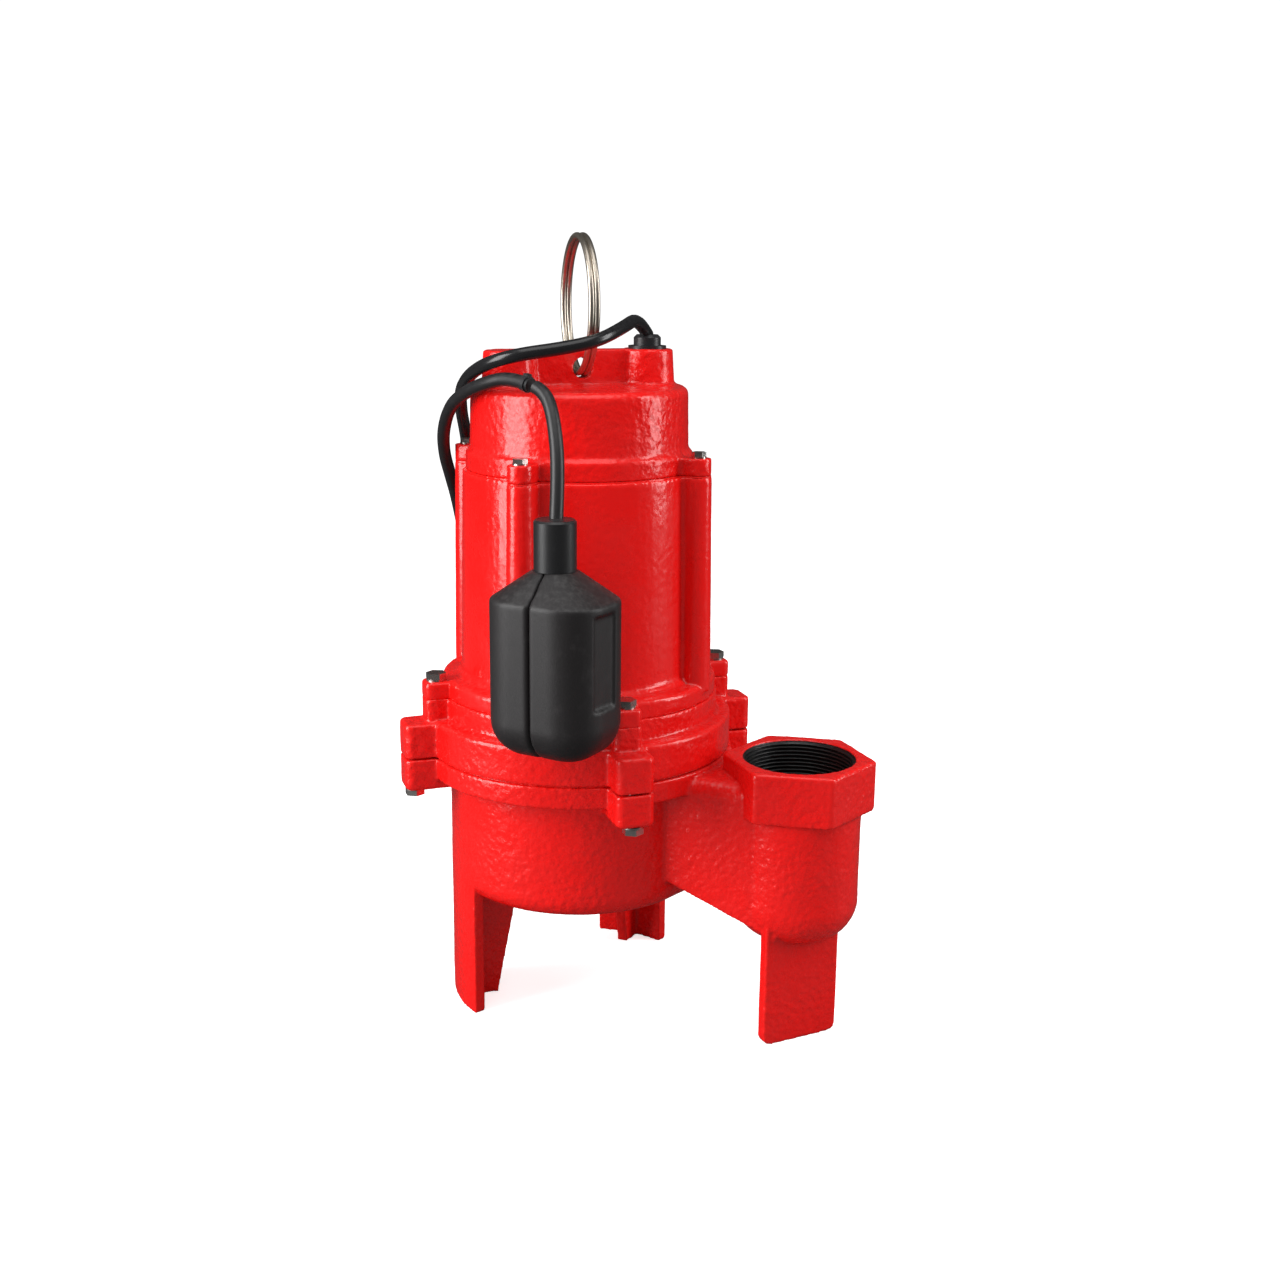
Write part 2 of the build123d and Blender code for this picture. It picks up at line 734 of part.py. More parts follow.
def float_shells():
    whole = float_body() - float_hollow()
    whole = whole - cylinder(9.0, float_side_top_z - 3, float_cone_top_z + 1)
    groove = at(0, 0, (float_bottom_z + float_cone_top_z) / 2) * Box(seam_width, 200, 200)
    outer_skin = float_body() - offset_core()
    whole = whole - (outer_skin & groove)
    left = whole & (at(-50, 0, 220) * Box(100, 200, 200))
    right = whole & (at(50, 0, 220) * Box(100, 200, 200))
    right = right - float_recess()
    return placed_on_float(left), placed_on_float(right)


def offset_core():
    height = float_side_top_z - float_bottom_z - 1.2
    core = at(0, 0, float_bottom_z + 1.2) * extrude(float_section(1.2), height)
    core = fillet(core.edges().group_by(Axis.Z)[0], 18.0)
    cone = loft([at(0, 0, float_side_top_z) * float_section(1.2),
                 at(0, 0, float_cone_top_z) * RectangleRounded(20.6, 20.6, 10.2)])
    return core + cone


def float_neck():
    neck = cylinder(float_neck_r, float_cone_top_z, float_neck_top_z)
    neck = chamfer(neck.edges().sort_by(Axis.Z)[-1], 1.0)
    plug = cylinder(9.0, float_side_top_z - 3, float_cone_top_z)
    return placed_on_float(neck + plug)


def float_ball():
    return placed_on_float(at(0, 0, 198.1) * Sphere(6.0))


def float_switch_capsule():
    """ball channel with the switch block on top, hung from the neck boot's plug"""
    channel = tube(8.0, 6.6, 192, 235) + cylinder(8.0, 190, 192)
    block = at(0, 0, 244.5) * Box(20, 12, 21)
    return placed_on_float(channel + block)


# tether: from the pivot at the tie down to the float's neck
tether_points = [(10.4, -73.3, 359.3), (19.8, -81.4, 343), (29.6, -91.5, 320), (34.6, -100.2, 293)]


def tether():
    path = FilletPolyline(*[Vector(*point) for point in tether_points], radius=bend_radii(tether_points))
    start = path % 0
    rod = sweep(Plane(origin=path @ 0, z_dir=start) * Circle(tether_r), path=path)
    return rod + at(*tether_points[0]) * Sphere(tether_r)


# ---------------------------------------------------------------- cords
power_points = [
    (28.3, 28.3, 382.4), (30.5, 9.5, 392.3), (32.5, -14.0, 387.8), (28.0, -36.5, 381.4),
    (13.0, -50.6, 377.6), (-2.6, -64.0, 375.1), (-20.5, -64.2, 370.6), (-39.0, -51.5, 363.8),
    (-61.0, -25.0, 352.5), (-70.0, -8.4, 338.0), (-75.4, 4.0, 329.2), (-82.0, 21.0, 309.0),
    (-87.0, 41.0, 276.0), (-91.0, 56.0, 232.0),
    (-92.6, 64.5, 180.0), (-94.0, 69.4, 122.0), (-95.0, 76.0, 66.0), (-100.0, 84.0, 26.0),
    (-111.0, 97.0, 6.0), (-126.0, 112.0, 4.0), (-141.0, 133.0, 8.0)]
lead_points = [
    (6.8, -71.6, 360.0), (-9.4, -64.2, 363.2), (-26.2, -60.0, 359.2), (-44.5, -48.8, 353.0),
    (-61.4, -35.8, 344.0), (-75.2, -20.3, 328.8), (-85.1, -2.8, 313.5), (-92.3, 16.0, 298.5),
    (-99.2, 36.0, 280.0), (-104.0, 55.0, 246.0), (-107.0, 70.0, 200.0), (-109.0, 78.0, 150.0),
    (-111.0, 83.0, 100.0), (-115.0, 89.0, 62.0), (-124.0, 101.0, 39.0), (-134.0, 117.0, 32.0),
    (-141.5, 134.0, 31.0)]
power_tail_points = [
    (-114.5, 223.6, 9.0), (-97.0, 226.5, 9.0), (-79.0, 231.0, 12.0), (-62.5, 230.0, 14.0),
    (-48.9, 219.0, 15.0), (-42.7, 205.9, 15.0)]
lead_tail_points = [
    (-114.5, 223.6, 31.0), (-96.0, 227.5, 31.0), (-70.0, 235.0, 29.0), (-42.0, 239.0, 25.0),
    (-15.0, 236.0, 20.0), (10.0, 226.0, 16.0), (27.0, 210.0, 15.0), (31.0, 189.0, 15.0),
    (21.5, 171.1, 15.0), (1.6, 161.7, 15.0)]


def bend_radii(points):
    radii = []
    for before, corner, after in zip(points, points[1:], points[2:]):
        first = Vector(*corner) - Vector(*before)
        second = Vector(*after) - Vector(*corner)
        turn = math.radians(first.get_angle(second))
        radii.append(0.45 * min(first.length, second.length) / math.tan(turn / 2))
    return radii


def cord_tube(name, points, radius):
    radii = bend_radii(points)
    path = FilletPolyline(*[Vector(*point) for point in points], radius=radii)
    solid = sweep(Plane(origin=path @ 0, z_dir=path % 0) * Circle(radius), path=path)
    ratio = solid.volume / (math.pi * radius ** 2 * path.length)
    print(name, "length", round(path.length, 1), "volume ratio", round(ratio, 3),
          "radii", [round(value, 1) for value in radii])
    return solid


def cord_coil(low):
    section = at(coil_mid_r, 0, low + coil_height / 2) * Rot(90, 0, 0) * RectangleRounded(
        coil_width, coil_height, 7.0)
    return at(coil_x, coil_y, 0) * revolve(section, Axis.Z)


def cord_tie():
    end = Vector(*lead_points[0])
    inward = (Vector(*lead_points[1]) - end).normalized()
    plane = Plane(origin=end + inward * 2.0, z_dir=inward)
    band = extrude(plane * (Circle(float_lead_r + tie_thickness) - Circle(float_lead_r)), tie_width)
    lock = plane * at(0, float_lead_r + tie_thickness, tie_width / 2) * Box(3.0, 1.6, tie_width)
    lock = lock - extrude(plane * Circle(float_lead_r + tie_thickness / 2), tie_width)
    return band + lock


def placed_plug(shape):
    return at(plug_x, plug_y, plug_z) * Rot(0, 0, plug_turn) * shape


def power_plug_body():
    shell = at(17, 0, 0) * Box(34, 25, 25)
    shell = fillet(shell.edges().filter_by(Axis.X), 7.0)
    nose = at(-5, 0, 0) * Rot(0, 90, 0) * Cylinder(6.0, 12)
    return placed_plug(shell + nose)


def blades(root_x, tip_x):
    length = tip_x - root_x
    flats = [at(root_x + length / 2, side, 2.5) * Box(length, 1.5, 6.3) for side in (-6.35, 6.35)]
    pin = at(root_x + length / 2 + 1.5, 0, -7.0) * Rot(0, 90, 0) * Cylinder(2.4, length + 3)
    return [placed_plug(piece) for piece in (*flats, pin)]


def piggyback_plug_body():
    shell = at(34 + 14, 0, 0) * Box(27.8, 27, 27)
    shell = fillet(shell.edges().filter_by(Axis.X), 7.0)
    spout = at(48, 17, 0) * Rot(90, 0, 0) * Cylinder(6.0, 8)
    shell = shell + spout
    for side in (-6.35, 6.35):
        shell = shell - at(34 + 9, side, 2.5) * Box(20, 2.1, 6.9)
    return placed_plug(shell - at(34 + 10, 0, -7.0) * Rot(0, 90, 0) * Cylinder(2.7, 23))


# ---------------------------------------------------------------- write the nodes
def main():
    os.makedirs("parts", exist_ok=True)
    save("volute_casing", volute_casing())
    save("volute_gasket", volute_gasket())
    save("volute_bolts", *volute_bolts())
    save("volute_lock_washers", *ring_washers(
        volute_bolt_r, bolt_angle, volute_ear_bottom_z - washer_thickness, washer_thickness, bolt_shank_r,
        washer_r))
    save("seal_plate", seal_plate())
    save("seal_plate_oring", seal_plate_oring())
    save("motor_housing", motor_housing())
    save("housing_bolts", *housing_bolts())
    save("housing_lock_washers", *ring_washers(housing_bolt_r, bolt_angle, housing_flange_top_z - 0.5,
                                               washer_thickness, bolt_shank_r, washer_r))
    save("cap_gasket", cap_gasket())
    save("motor_cap", motor_cap())
    save("cap_screws", *cap_screws())
    save("cap_lock_washers", *ring_washers(column_bolt_r, -90, cap_band_top_z - 1.8, screw_washer,
                                           screw_shank_r, screw_washer_r))
    save("lift_ring", lift_ring())
    save("gland_body", gland_body())
    save("gland_nut", gland_nut())
    save("gland_grommet", gland_grommet())
    save("shaft", shaft())
    save("rotor_core", rotor_core())
    save("rotor_end_rings", *rotor_end_rings())
    save("stator_core", stator_core())
    save("stator_windings", stator_windings())
    lower = bearing(lower_bearing_low_z, lower_bearing_width, shaft_r, lower_bearing_r)
    upper = bearing(upper_bearing_low_z, upper_bearing_width, shaft_upper_r, upper_bearing_r)
    for place, parts in (("lower", lower), ("upper", upper)):
        save(f"{place}_bearing_outer_ring", parts[0])
        save(f"{place}_bearing_inner_ring", parts[1])
        save(f"{place}_bearing_balls", *parts[2])
        save(f"{place}_bearing_cage", parts[3])
    save("bearing_bracket", bearing_bracket())
    save("wave_washer", wave_washer())
    save("bearing_retaining_ring", retaining_ring())
    save("seal_seat", seal_seat())
    save("seal_seat_cup", seal_seat_cup())
    save("seal_head", seal_head())
    save("seal_bellows", seal_bellows())
    save("impeller", impeller())
    save("impeller_nut", impeller_nut())
    save("capacitor", capacitor())
    save("capacitor_strap", capacitor_strap())
    save("thermal_protector", thermal_protector())
    save("motor_leads", *motor_leads())
    left_shell, right_shell = float_shells()
    save("float_shell_left", left_shell)
    save("float_shell_right", right_shell)
    save("float_neck_boot", float_neck())
    save("float_ball", float_ball())
    save("float_switch_capsule", float_switch_capsule())
    save("float_tether", tether())
    save("cord_tie", cord_tie())
    save("power_cord", cord_tube("power_cord", power_points, power_cord_r))
    save("power_cord_coil", cord_coil(0.0))
    save("power_cord_tail", cord_tube("power_cord_tail", power_tail_points, power_cord_r))
    save("power_plug_body", power_plug_body())
    save("power_plug_blades", *blades(32, 51))
    save("float_lead", cord_tube("float_lead", lead_points, float_lead_r))
    save("float_lead_coil", cord_coil(coil_height))
    save("float_lead_tail", cord_tube("float_lead_tail", lead_tail_points, float_lead_r))
    save("piggyback_plug_body", piggyback_plug_body())
    save("piggyback_plug_blades", *blades(58, 77.5))


if __name__ == "__main__":
    main()
    cords = ("power", "float_lead", "piggyback", "cord_tie")
    boxes = [box for name, box in written.items() if not name.startswith(cords)]
    low = [min(tuple(box.min)[k] for box in boxes) for k in range(3)]
    high = [max(tuple(box.max)[k] for box in boxes) for k in range(3)]
    print("nodes", len(written), "box", [round(value, 2) for value in low + high])
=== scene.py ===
import json
import math

import bmesh
import bpy
from bpy.props import FloatProperty, FloatVectorProperty, IntProperty, PointerProperty
from mathutils import Matrix, Vector


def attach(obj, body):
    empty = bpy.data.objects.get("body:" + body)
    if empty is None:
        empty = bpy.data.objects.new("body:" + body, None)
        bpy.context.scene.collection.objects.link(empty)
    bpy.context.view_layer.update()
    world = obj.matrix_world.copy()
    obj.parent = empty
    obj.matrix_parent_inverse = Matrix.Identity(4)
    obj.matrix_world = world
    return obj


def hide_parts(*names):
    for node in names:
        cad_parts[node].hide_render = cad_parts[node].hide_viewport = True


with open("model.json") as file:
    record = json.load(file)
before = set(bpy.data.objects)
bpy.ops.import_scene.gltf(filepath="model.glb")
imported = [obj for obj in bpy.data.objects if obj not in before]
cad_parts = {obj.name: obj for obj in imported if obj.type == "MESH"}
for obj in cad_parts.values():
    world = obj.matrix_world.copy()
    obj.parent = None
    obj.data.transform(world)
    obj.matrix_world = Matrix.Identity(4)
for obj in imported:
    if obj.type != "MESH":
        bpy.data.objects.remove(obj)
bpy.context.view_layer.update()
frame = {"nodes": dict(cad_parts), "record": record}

bl_info = {
    "name": "Submersible sump pump",
    "version": (1, 0, 0),
    "blender": (4, 5, 0),
    "location": "View3D > Sidebar > Sump pump",
    "description": "Finishes, cords and stage of a cast-iron sump pump on its fixed frame",
    "category": "Object",
}

nodes = frame["nodes"]

# The pump axis is at (PUMP_X, PUMP_Y) on the floor, in millimetres.
PUMP_X = -43.78
PUMP_Y = 21.38
DISCHARGE = Vector(((133.6 + PUMP_X) / 1000, PUMP_Y / 1000, 0))


def row(points):
    """Points about the pump axis in millimetres, as metres in the row frame."""
    return [Vector(((x + PUMP_X) / 1000, (y + PUMP_Y) / 1000, z / 1000)) for x, y, z in points]


def darker(colour, share):
    return tuple(value * share for value in colour)


def turns(count):
    """Evenly spaced angles, once around."""
    return [2 * math.pi * step / count for step in range(count)]


def level_axes(angle):
    """The level direction at this angle, and the level direction to its left."""
    ahead = Vector((math.cos(angle), math.sin(angle), 0))
    return ahead, Vector((-ahead.y, ahead.x, 0))


# ---------------------------------------------------------------- settings

class EnamelSettings(bpy.types.PropertyGroup):
    colour: FloatVectorProperty(
        name="Enamel colour", description="Colour of the baked enamel on the castings",
        subtype="COLOR", size=3, min=0, max=1, default=(0.80, 0.006, 0.005))
    # Hollow colour: the dark end of the enamel's random mottle, and painted shade that darkens the
    # hollows.
    shade: FloatVectorProperty(
        name="Hollow colour", description="Deeper red where the enamel lies thick in hollows",
        subtype="COLOR", size=3, min=0, max=1, default=(0.46, 0.004, 0.004))
    roughness: FloatProperty(
        name="Roughness", description="Roughness of the enamel", subtype="FACTOR",
        min=0, max=1, default=0.26)
    grain: FloatProperty(
        name="Casting grain", description="Height of the sand-cast grain under the enamel",
        unit="LENGTH", min=0, max=0.003, default=0.00100, precision=5)
    relief: FloatProperty(
        name="Casting relief", description="Height of the sand mould's low waves",
        unit="LENGTH", min=0, max=0.001, default=0.00024, precision=5)
    voxel: FloatProperty(
        name="Skin spacing", description="Spacing of the skin's faces on the castings",
        unit="LENGTH", min=0.0006, max=0.004, default=0.0010, precision=5)
    rounding: IntProperty(
        name="Edge rounding", description="Smoothing steps that round the cast edges",
        min=0, max=20, default=2)


class MetalSettings(bpy.types.PropertyGroup):
    zinc: FloatVectorProperty(
        name="Zinc colour", description="Colour of the plated bolts and screws",
        subtype="COLOR", size=3, min=0, max=1, default=(0.62, 0.60, 0.57))
    nickel: FloatVectorProperty(
        name="Nickel colour", description="Colour of the lift ring",
        subtype="COLOR", size=3, min=0, max=1, default=(0.56, 0.50, 0.42))
    thread: FloatVectorProperty(
        name="Thread colour", description="Black oxide inside the discharge",
        subtype="COLOR", size=3, min=0, max=1, default=(0.012, 0.012, 0.012))


class CordSettings(bpy.types.PropertyGroup):
    power_diameter: FloatProperty(
        name="Power cord", description="Diameter of the power cord", unit="LENGTH",
        min=0.004, max=0.015, default=0.007, precision=4)
    lead_diameter: FloatProperty(
        name="Float lead", description="Diameter of the float switch's lead", unit="LENGTH",
        min=0.004, max=0.015, default=0.0072, precision=4)
    length: FloatProperty(
        name="Cord length", description="Real length of each cord", unit="LENGTH",
        min=1, max=10, default=3.0)
    jacket: FloatVectorProperty(
        name="Jacket colour", description="Colour of both cords' jackets",
        subtype="COLOR", size=3, min=0, max=1, default=(0.012, 0.012, 0.013))


class FloatSettings(bpy.types.PropertyGroup):
    colour: FloatVectorProperty(
        name="Float colour", description="Colour of the float's shells",
        subtype="COLOR", size=3, min=0, max=1, default=(0.013, 0.0110, 0.0115))
    roughness: FloatProperty(
        name="Float roughness", description="Roughness of the float's shells",
        subtype="FACTOR", min=0, max=1, default=0.50)


class StageSettings(bpy.types.PropertyGroup):
    lens: FloatProperty(
        name="Lens", description="Focal length on a 36 mm sensor", subtype="DISTANCE_CAMERA",
        min=10, max=200, default=43.79)
    eye: FloatVectorProperty(
        name="Camera place", description="Where the camera stands", subtype="TRANSLATION",
        unit="LENGTH", size=3, default=(0.3285, -0.7627, 0.422))
    heading: FloatProperty(
        name="Heading", description="Turn of the camera about the vertical",
        subtype="ANGLE", default=math.radians(23.1))
    pitch: FloatProperty(
        name="Pitch", description="How far the camera looks down",
        subtype="ANGLE", default=math.radians(13.68))
    roll: FloatProperty(
        name="Roll", description="Turn of the camera about its line of sight",
        subtype="ANGLE", default=math.radians(0.6))
    floor: FloatVectorProperty(
        name="Floor colour", description="Colour of the pale floor",
        subtype="COLOR", size=3, min=0, max=1, default=(0.93, 0.93, 0.93))


# ---------------------------------------------------------------- shader groups

def add(tree, kind, values=None, **settings):
    """A node in tree, with its settings and its unlinked sockets' values."""
    made = tree.nodes.new(kind)
    for name, value in settings.items():
        setattr(made, name, value)
    for name, value in (values or {}).items():
        made.inputs[name].default_value = value
    return made


def feed(tree, socket, value):
    """Links another node's output to the socket, or sets the socket to a constant."""
    if isinstance(value, bpy.types.NodeSocket):
        tree.links.new(value, socket)
    elif value is not None:
        socket.default_value = value


def math_node(tree, operation, first, second=None, clamp=False):
    made = add(tree, "ShaderNodeMath", operation=operation, use_clamp=clamp)
    feed(tree, made.inputs[0], first)
    feed(tree, made.inputs[1], second)
    return made.outputs[0]


def vector_node(tree, operation, first, second=None):
    made = add(tree, "ShaderNodeVectorMath", operation=operation)
    feed(tree, made.inputs[0], first)
    feed(tree, made.inputs[1], second)
    return made


def noise_node(tree, vector, scale, detail=3.0, roughness=0.5):
    made = add(tree, "ShaderNodeTexNoise", {"Detail": detail, "Roughness": roughness})
    feed(tree, made.inputs["Vector"], vector)
    feed(tree, made.inputs["Scale"], scale)
    return made.outputs["Fac"]


def mix_colour(tree, factor, first, second):
    made = add(tree, "ShaderNodeMix", data_type="RGBA")
    feed(tree, made.inputs[0], factor)
    for slot, value in ((6, first), (7, second)):
        linked = isinstance(value, bpy.types.NodeSocket)
        feed(tree, made.inputs[slot], value if linked else (*value, 1))
    return made.outputs[2]


def ramp_value(tree, value, low, high, low_to=0.0, high_to=1.0):
    made = add(tree, "ShaderNodeMapRange", {
        "From Min": low, "From Max": high, "To Min": low_to, "To Max": high_to},
        interpolation_type="SMOOTHSTEP")
    tree.links.new(value, made.inputs["Value"])
    return made.outputs["Result"]


def group_tree(name, inputs, outputs):
    """An empty shader group with its named sockets, its input node and its output node."""
    tree = bpy.data.node_groups.new(name, "ShaderNodeTree")
    for label, kind, value in inputs:
        socket = tree.interface.new_socket(label, in_out="INPUT", socket_type=kind)
        if value is not None:
            socket.default_value = value
    for label, kind in outputs:
        tree.interface.new_socket(label, in_out="OUTPUT", socket_type=kind)
    return tree, add(tree, "NodeGroupInput"), add(tree, "NodeGroupOutput")


def casting_grain_group():
    """Sand-cast grain under paint: pits and low bumps that come and go, and a slow mottle."""
    tree, given, out = group_tree(
        "Casting grain",
        [("Vector", "NodeSocketVector", None), ("Grain", "NodeSocketFloat", 420.0),
         ("Patchiness", "NodeSocketFloat", 0.6)],
        [("Height", "NodeSocketFloat"), ("Mottle", "NodeSocketFloat")])
    vector = given.outputs["Vector"]
    grain = given.outputs["Grain"]
    fine = noise_node(tree, vector, grain, detail=2.5, roughness=0.55)
    cells = add(tree, "ShaderNodeTexVoronoi", {"Smoothness": 0.8}, feature="SMOOTH_F1")
    tree.links.new(vector, cells.inputs["Vector"])
    tree.links.new(math_node(tree, "MULTIPLY", grain, 0.62), cells.inputs["Scale"])
    bumps = math_node(tree, "ADD", math_node(tree, "MULTIPLY", fine, 0.55),
                      math_node(tree, "MULTIPLY", cells.outputs["Distance"], 0.65))
    patches = ramp_value(tree, noise_node(tree, vector, 26.0, detail=2.0), 0.36, 0.62)
    kept = math_node(tree, "SUBTRACT", 1.0, given.outputs["Patchiness"])
    amount = math_node(tree, "ADD", kept,
                       math_node(tree, "MULTIPLY", patches, given.outputs["Patchiness"]))
    tree.links.new(math_node(tree, "MULTIPLY", bumps, amount), out.inputs["Height"])
    tree.links.new(noise_node(tree, vector, 38.0, detail=5.0, roughness=0.6),
                   out.inputs["Mottle"])
    return tree


def edges_group():
    """Masks of the outer edges and of the hollows, from how the surface bends. The materials paint
    shade into the hollows with them and, on the enamel, a partly painted highlight on the edges.
    """
    tree, given, out = group_tree(
        "Edges and hollows",
        [("Vector", "NodeSocketVector", None), ("Reach", "NodeSocketFloat", 0.06)],
        [("Edge", "NodeSocketFloat"), ("Hollow", "NodeSocketFloat")])
    bend = add(tree, "ShaderNodeNewGeometry").outputs["Pointiness"]
    broken = noise_node(tree, given.outputs["Vector"], 160.0, detail=3.0)
    for label, sign in (("Edge", 1.0), ("Hollow", -1.0)):
        away = math_node(tree, "MULTIPLY", math_node(tree, "SUBTRACT", bend, 0.5), sign)
        share = math_node(tree, "DIVIDE", away, given.outputs["Reach"], clamp=True)
        wavy = math_node(tree, "MULTIPLY", share, math_node(tree, "ADD", broken, 0.4), clamp=True)
        tree.links.new(wavy, out.inputs[label])
    return tree


def plating_group():
    """Fine drawn lines and clouding of plated or machined metal."""
    tree, given, out = group_tree(
        "Plated metal",
        [("Vector", "NodeSocketVector", None), ("Lines", "NodeSocketFloat", 900.0),
         ("Cloud", "NodeSocketFloat", 0.5)],
        [("Height", "NodeSocketFloat"), ("Tone", "NodeSocketFloat"),
         ("Roughness shift", "NodeSocketFloat")])
    stretch = add(tree, "ShaderNodeMapping")
    stretch.inputs["Scale"].default_value = (1.0, 1.0, 7.0)
    tree.links.new(given.outputs["Vector"], stretch.inputs["Vector"])
    lines = noise_node(tree, stretch.outputs["Vector"], given.outputs["Lines"], detail=2.0)
    cloud = noise_node(tree, given.outputs["Vector"], 240.0, detail=4.0, roughness=0.6)
    tree.links.new(lines, out.inputs["Height"])
    toned = ramp_value(tree, cloud, 0.35, 0.68)
    tree.links.new(math_node(tree, "MULTIPLY", toned, given.outputs["Cloud"]), out.inputs["Tone"])
    tree.links.new(math_node(tree, "MULTIPLY", math_node(tree, "SUBTRACT", cloud, 0.5), 0.3),
                   out.inputs["Roughness shift"])
    return tree


def moulded_group():
    """Spark-eroded texture of moulded plastic and rubber, with faint scuffs."""
    tree, given, out = group_tree(
        "Moulded skin",
        [("Vector", "NodeSocketVector", None), ("Texture", "NodeSocketFloat", 1400.0),
         ("Scuffs", "NodeSocketFloat", 0.3)],
        [("Height", "NodeSocketFloat"), ("Scuff", "NodeSocketFloat")])
    vector = given.outputs["Vector"]
    tree.links.new(noise_node(tree, vector, given.outputs["Texture"], detail=3.0, roughness=0.65),
                   out.inputs["Height"])
    marks = noise_node(tree, vector, 85.0, detail=7.0, roughness=0.72)
    scuffs = ramp_value(tree, marks, 0.52, 0.72)
    tree.links.new(math_node(tree, "MULTIPLY", scuffs, given.outputs["Scuffs"]),
                   out.inputs["Scuff"])
    return tree


def dust_group():
    """Thin dust that settles on faces that look up."""
    tree, given, out = group_tree(
        "Settled dust",
        [("Vector", "NodeSocketVector", None), ("Amount", "NodeSocketFloat", 0.08)],
        [("Mask", "NodeSocketFloat")])
    split = add(tree, "ShaderNodeSeparateXYZ")
    tree.links.new(add(tree, "ShaderNodeNewGeometry").outputs["Normal"], split.inputs[0])
    up = ramp_value(tree, split.outputs["Z"], 0.25, 0.95)
    specks = noise_node(tree, given.outputs["Vector"], 310.0, detail=6.0, roughness=0.7)
    thin = math_node(tree, "MULTIPLY", up, ramp_value(tree, specks, 0.4, 0.75))
    tree.links.new(math_node(tree, "MULTIPLY", thin, given.outputs["Amount"]),
                   out.inputs["Mask"])
    return tree


GROUPS = {
    "grain": casting_grain_group,
    "edges": edges_group,
    "plating": plating_group,
    "moulded": moulded_group,
    "dust": dust_group,
}
built_groups = {}


def place_group(tree, key, vector, **values):
    """The shared group, built once, placed in a material with its own values."""
    if key not in built_groups:
        built_groups[key] = GROUPS[key]()
    made = add(tree, "ShaderNodeGroup", node_tree=built_groups[key])
    tree.links.new(vector, made.inputs["Vector"])
    for name, value in values.items():
        made.inputs[name.replace("_", " ")].default_value = value
    return made


# ---------------------------------------------------------------- materials

def blank_material(name, **constants):
    """A material with its Principled shader and the object's own coordinates."""
    material = bpy.data.materials.new(name)
    material.use_nodes = True
    tree = material.node_tree
    shader = tree.nodes["Principled BSDF"]
    for socket, value in constants.items():
        shader.inputs[socket.replace("_", " ")].default_value = value
    vector = add(tree, "ShaderNodeTexCoord").outputs["Object"]
    return material, tree, shader, vector


def bump(tree, shader, height, distance, strength=1.0):
    made = add(tree, "ShaderNodeBump", {"Strength": strength, "Distance": distance})
    tree.links.new(height, made.inputs["Height"])
    tree.links.new(made.outputs["Normal"], shader.inputs["Normal"])


def enamel_material(settings, name, grain_share):
    """Red enamel over sand-cast iron, with painted shade in its hollows and a partly painted
    highlight on its edges, black inside the discharge's bore.
    """
    material, tree, shader, vector = blank_material(name, Coat_Roughness=0.12, IOR=1.5,
                                                    Specular_IOR_Level=0.25)
    grain = place_group(tree, "grain", vector, Grain=430.0, Patchiness=0.45)
    edges = place_group(tree, "edges", vector, Reach=0.10)
    dust = place_group(tree, "dust", vector, Amount=0.05)
    colour = mix_colour(tree, ramp_value(tree, grain.outputs["Mottle"], 0.3, 0.7, 0.0, 0.12),
                        settings.colour, settings.shade)
    # Painted shade: the hollows are darkened towards the hollow colour.
    colour = mix_colour(tree, edges.outputs["Hollow"], colour, settings.shade)
    # Lighter red on the outer edges: partly thinner enamel there, partly a painted highlight.
    colour = mix_colour(tree, math_node(tree, "MULTIPLY", edges.outputs["Edge"], 0.35), colour,
                        (0.88, 0.022, 0.016))
    colour = mix_colour(tree, dust.outputs["Mask"], colour, (0.62, 0.50, 0.46))
    bore = bore_mask(tree, vector)
    colour = mix_colour(tree, bore, colour, (0.010, 0.010, 0.010))
    tree.links.new(colour, shader.inputs["Base Color"])
    rough = ramp_value(tree, grain.outputs["Mottle"], 0.3, 0.7, settings.roughness - 0.05,
                       settings.roughness + 0.08)
    tree.links.new(math_node(tree, "ADD", rough, math_node(tree, "MULTIPLY", bore, 0.15)),
                   shader.inputs["Roughness"])
    tree.links.new(math_node(tree, "MULTIPLY", math_node(tree, "SUBTRACT", 1.0, bore), 0.42),
                   shader.inputs["Coat Weight"])
    bump(tree, shader, grain.outputs["Height"], settings.grain * grain_share)
    return material


# The black finish of the discharge's bore, in metres: its reach from the axis and its height.
BORE_REACH = 0.0309
BORE_LOW = 0.098
BORE_HIGH = 0.1583


def bore_mask(tree, vector):
    """1 inside the discharge's bore and 0 outside it."""
    away = vector_node(tree, "SUBTRACT", vector, DISCHARGE).outputs[0]
    flat = vector_node(tree, "MULTIPLY", away, (1, 1, 0)).outputs[0]
    reach = vector_node(tree, "LENGTH", flat).outputs["Value"]
    split = add(tree, "ShaderNodeSeparateXYZ")
    tree.links.new(vector, split.inputs[0])
    inside = math_node(tree, "LESS_THAN", reach, BORE_REACH)
    above = math_node(tree, "GREATER_THAN", split.outputs["Z"], BORE_LOW)
    below = math_node(tree, "LESS_THAN", split.outputs["Z"], BORE_HIGH)
    return math_node(tree, "MULTIPLY", inside, math_node(tree, "MULTIPLY", above, below))


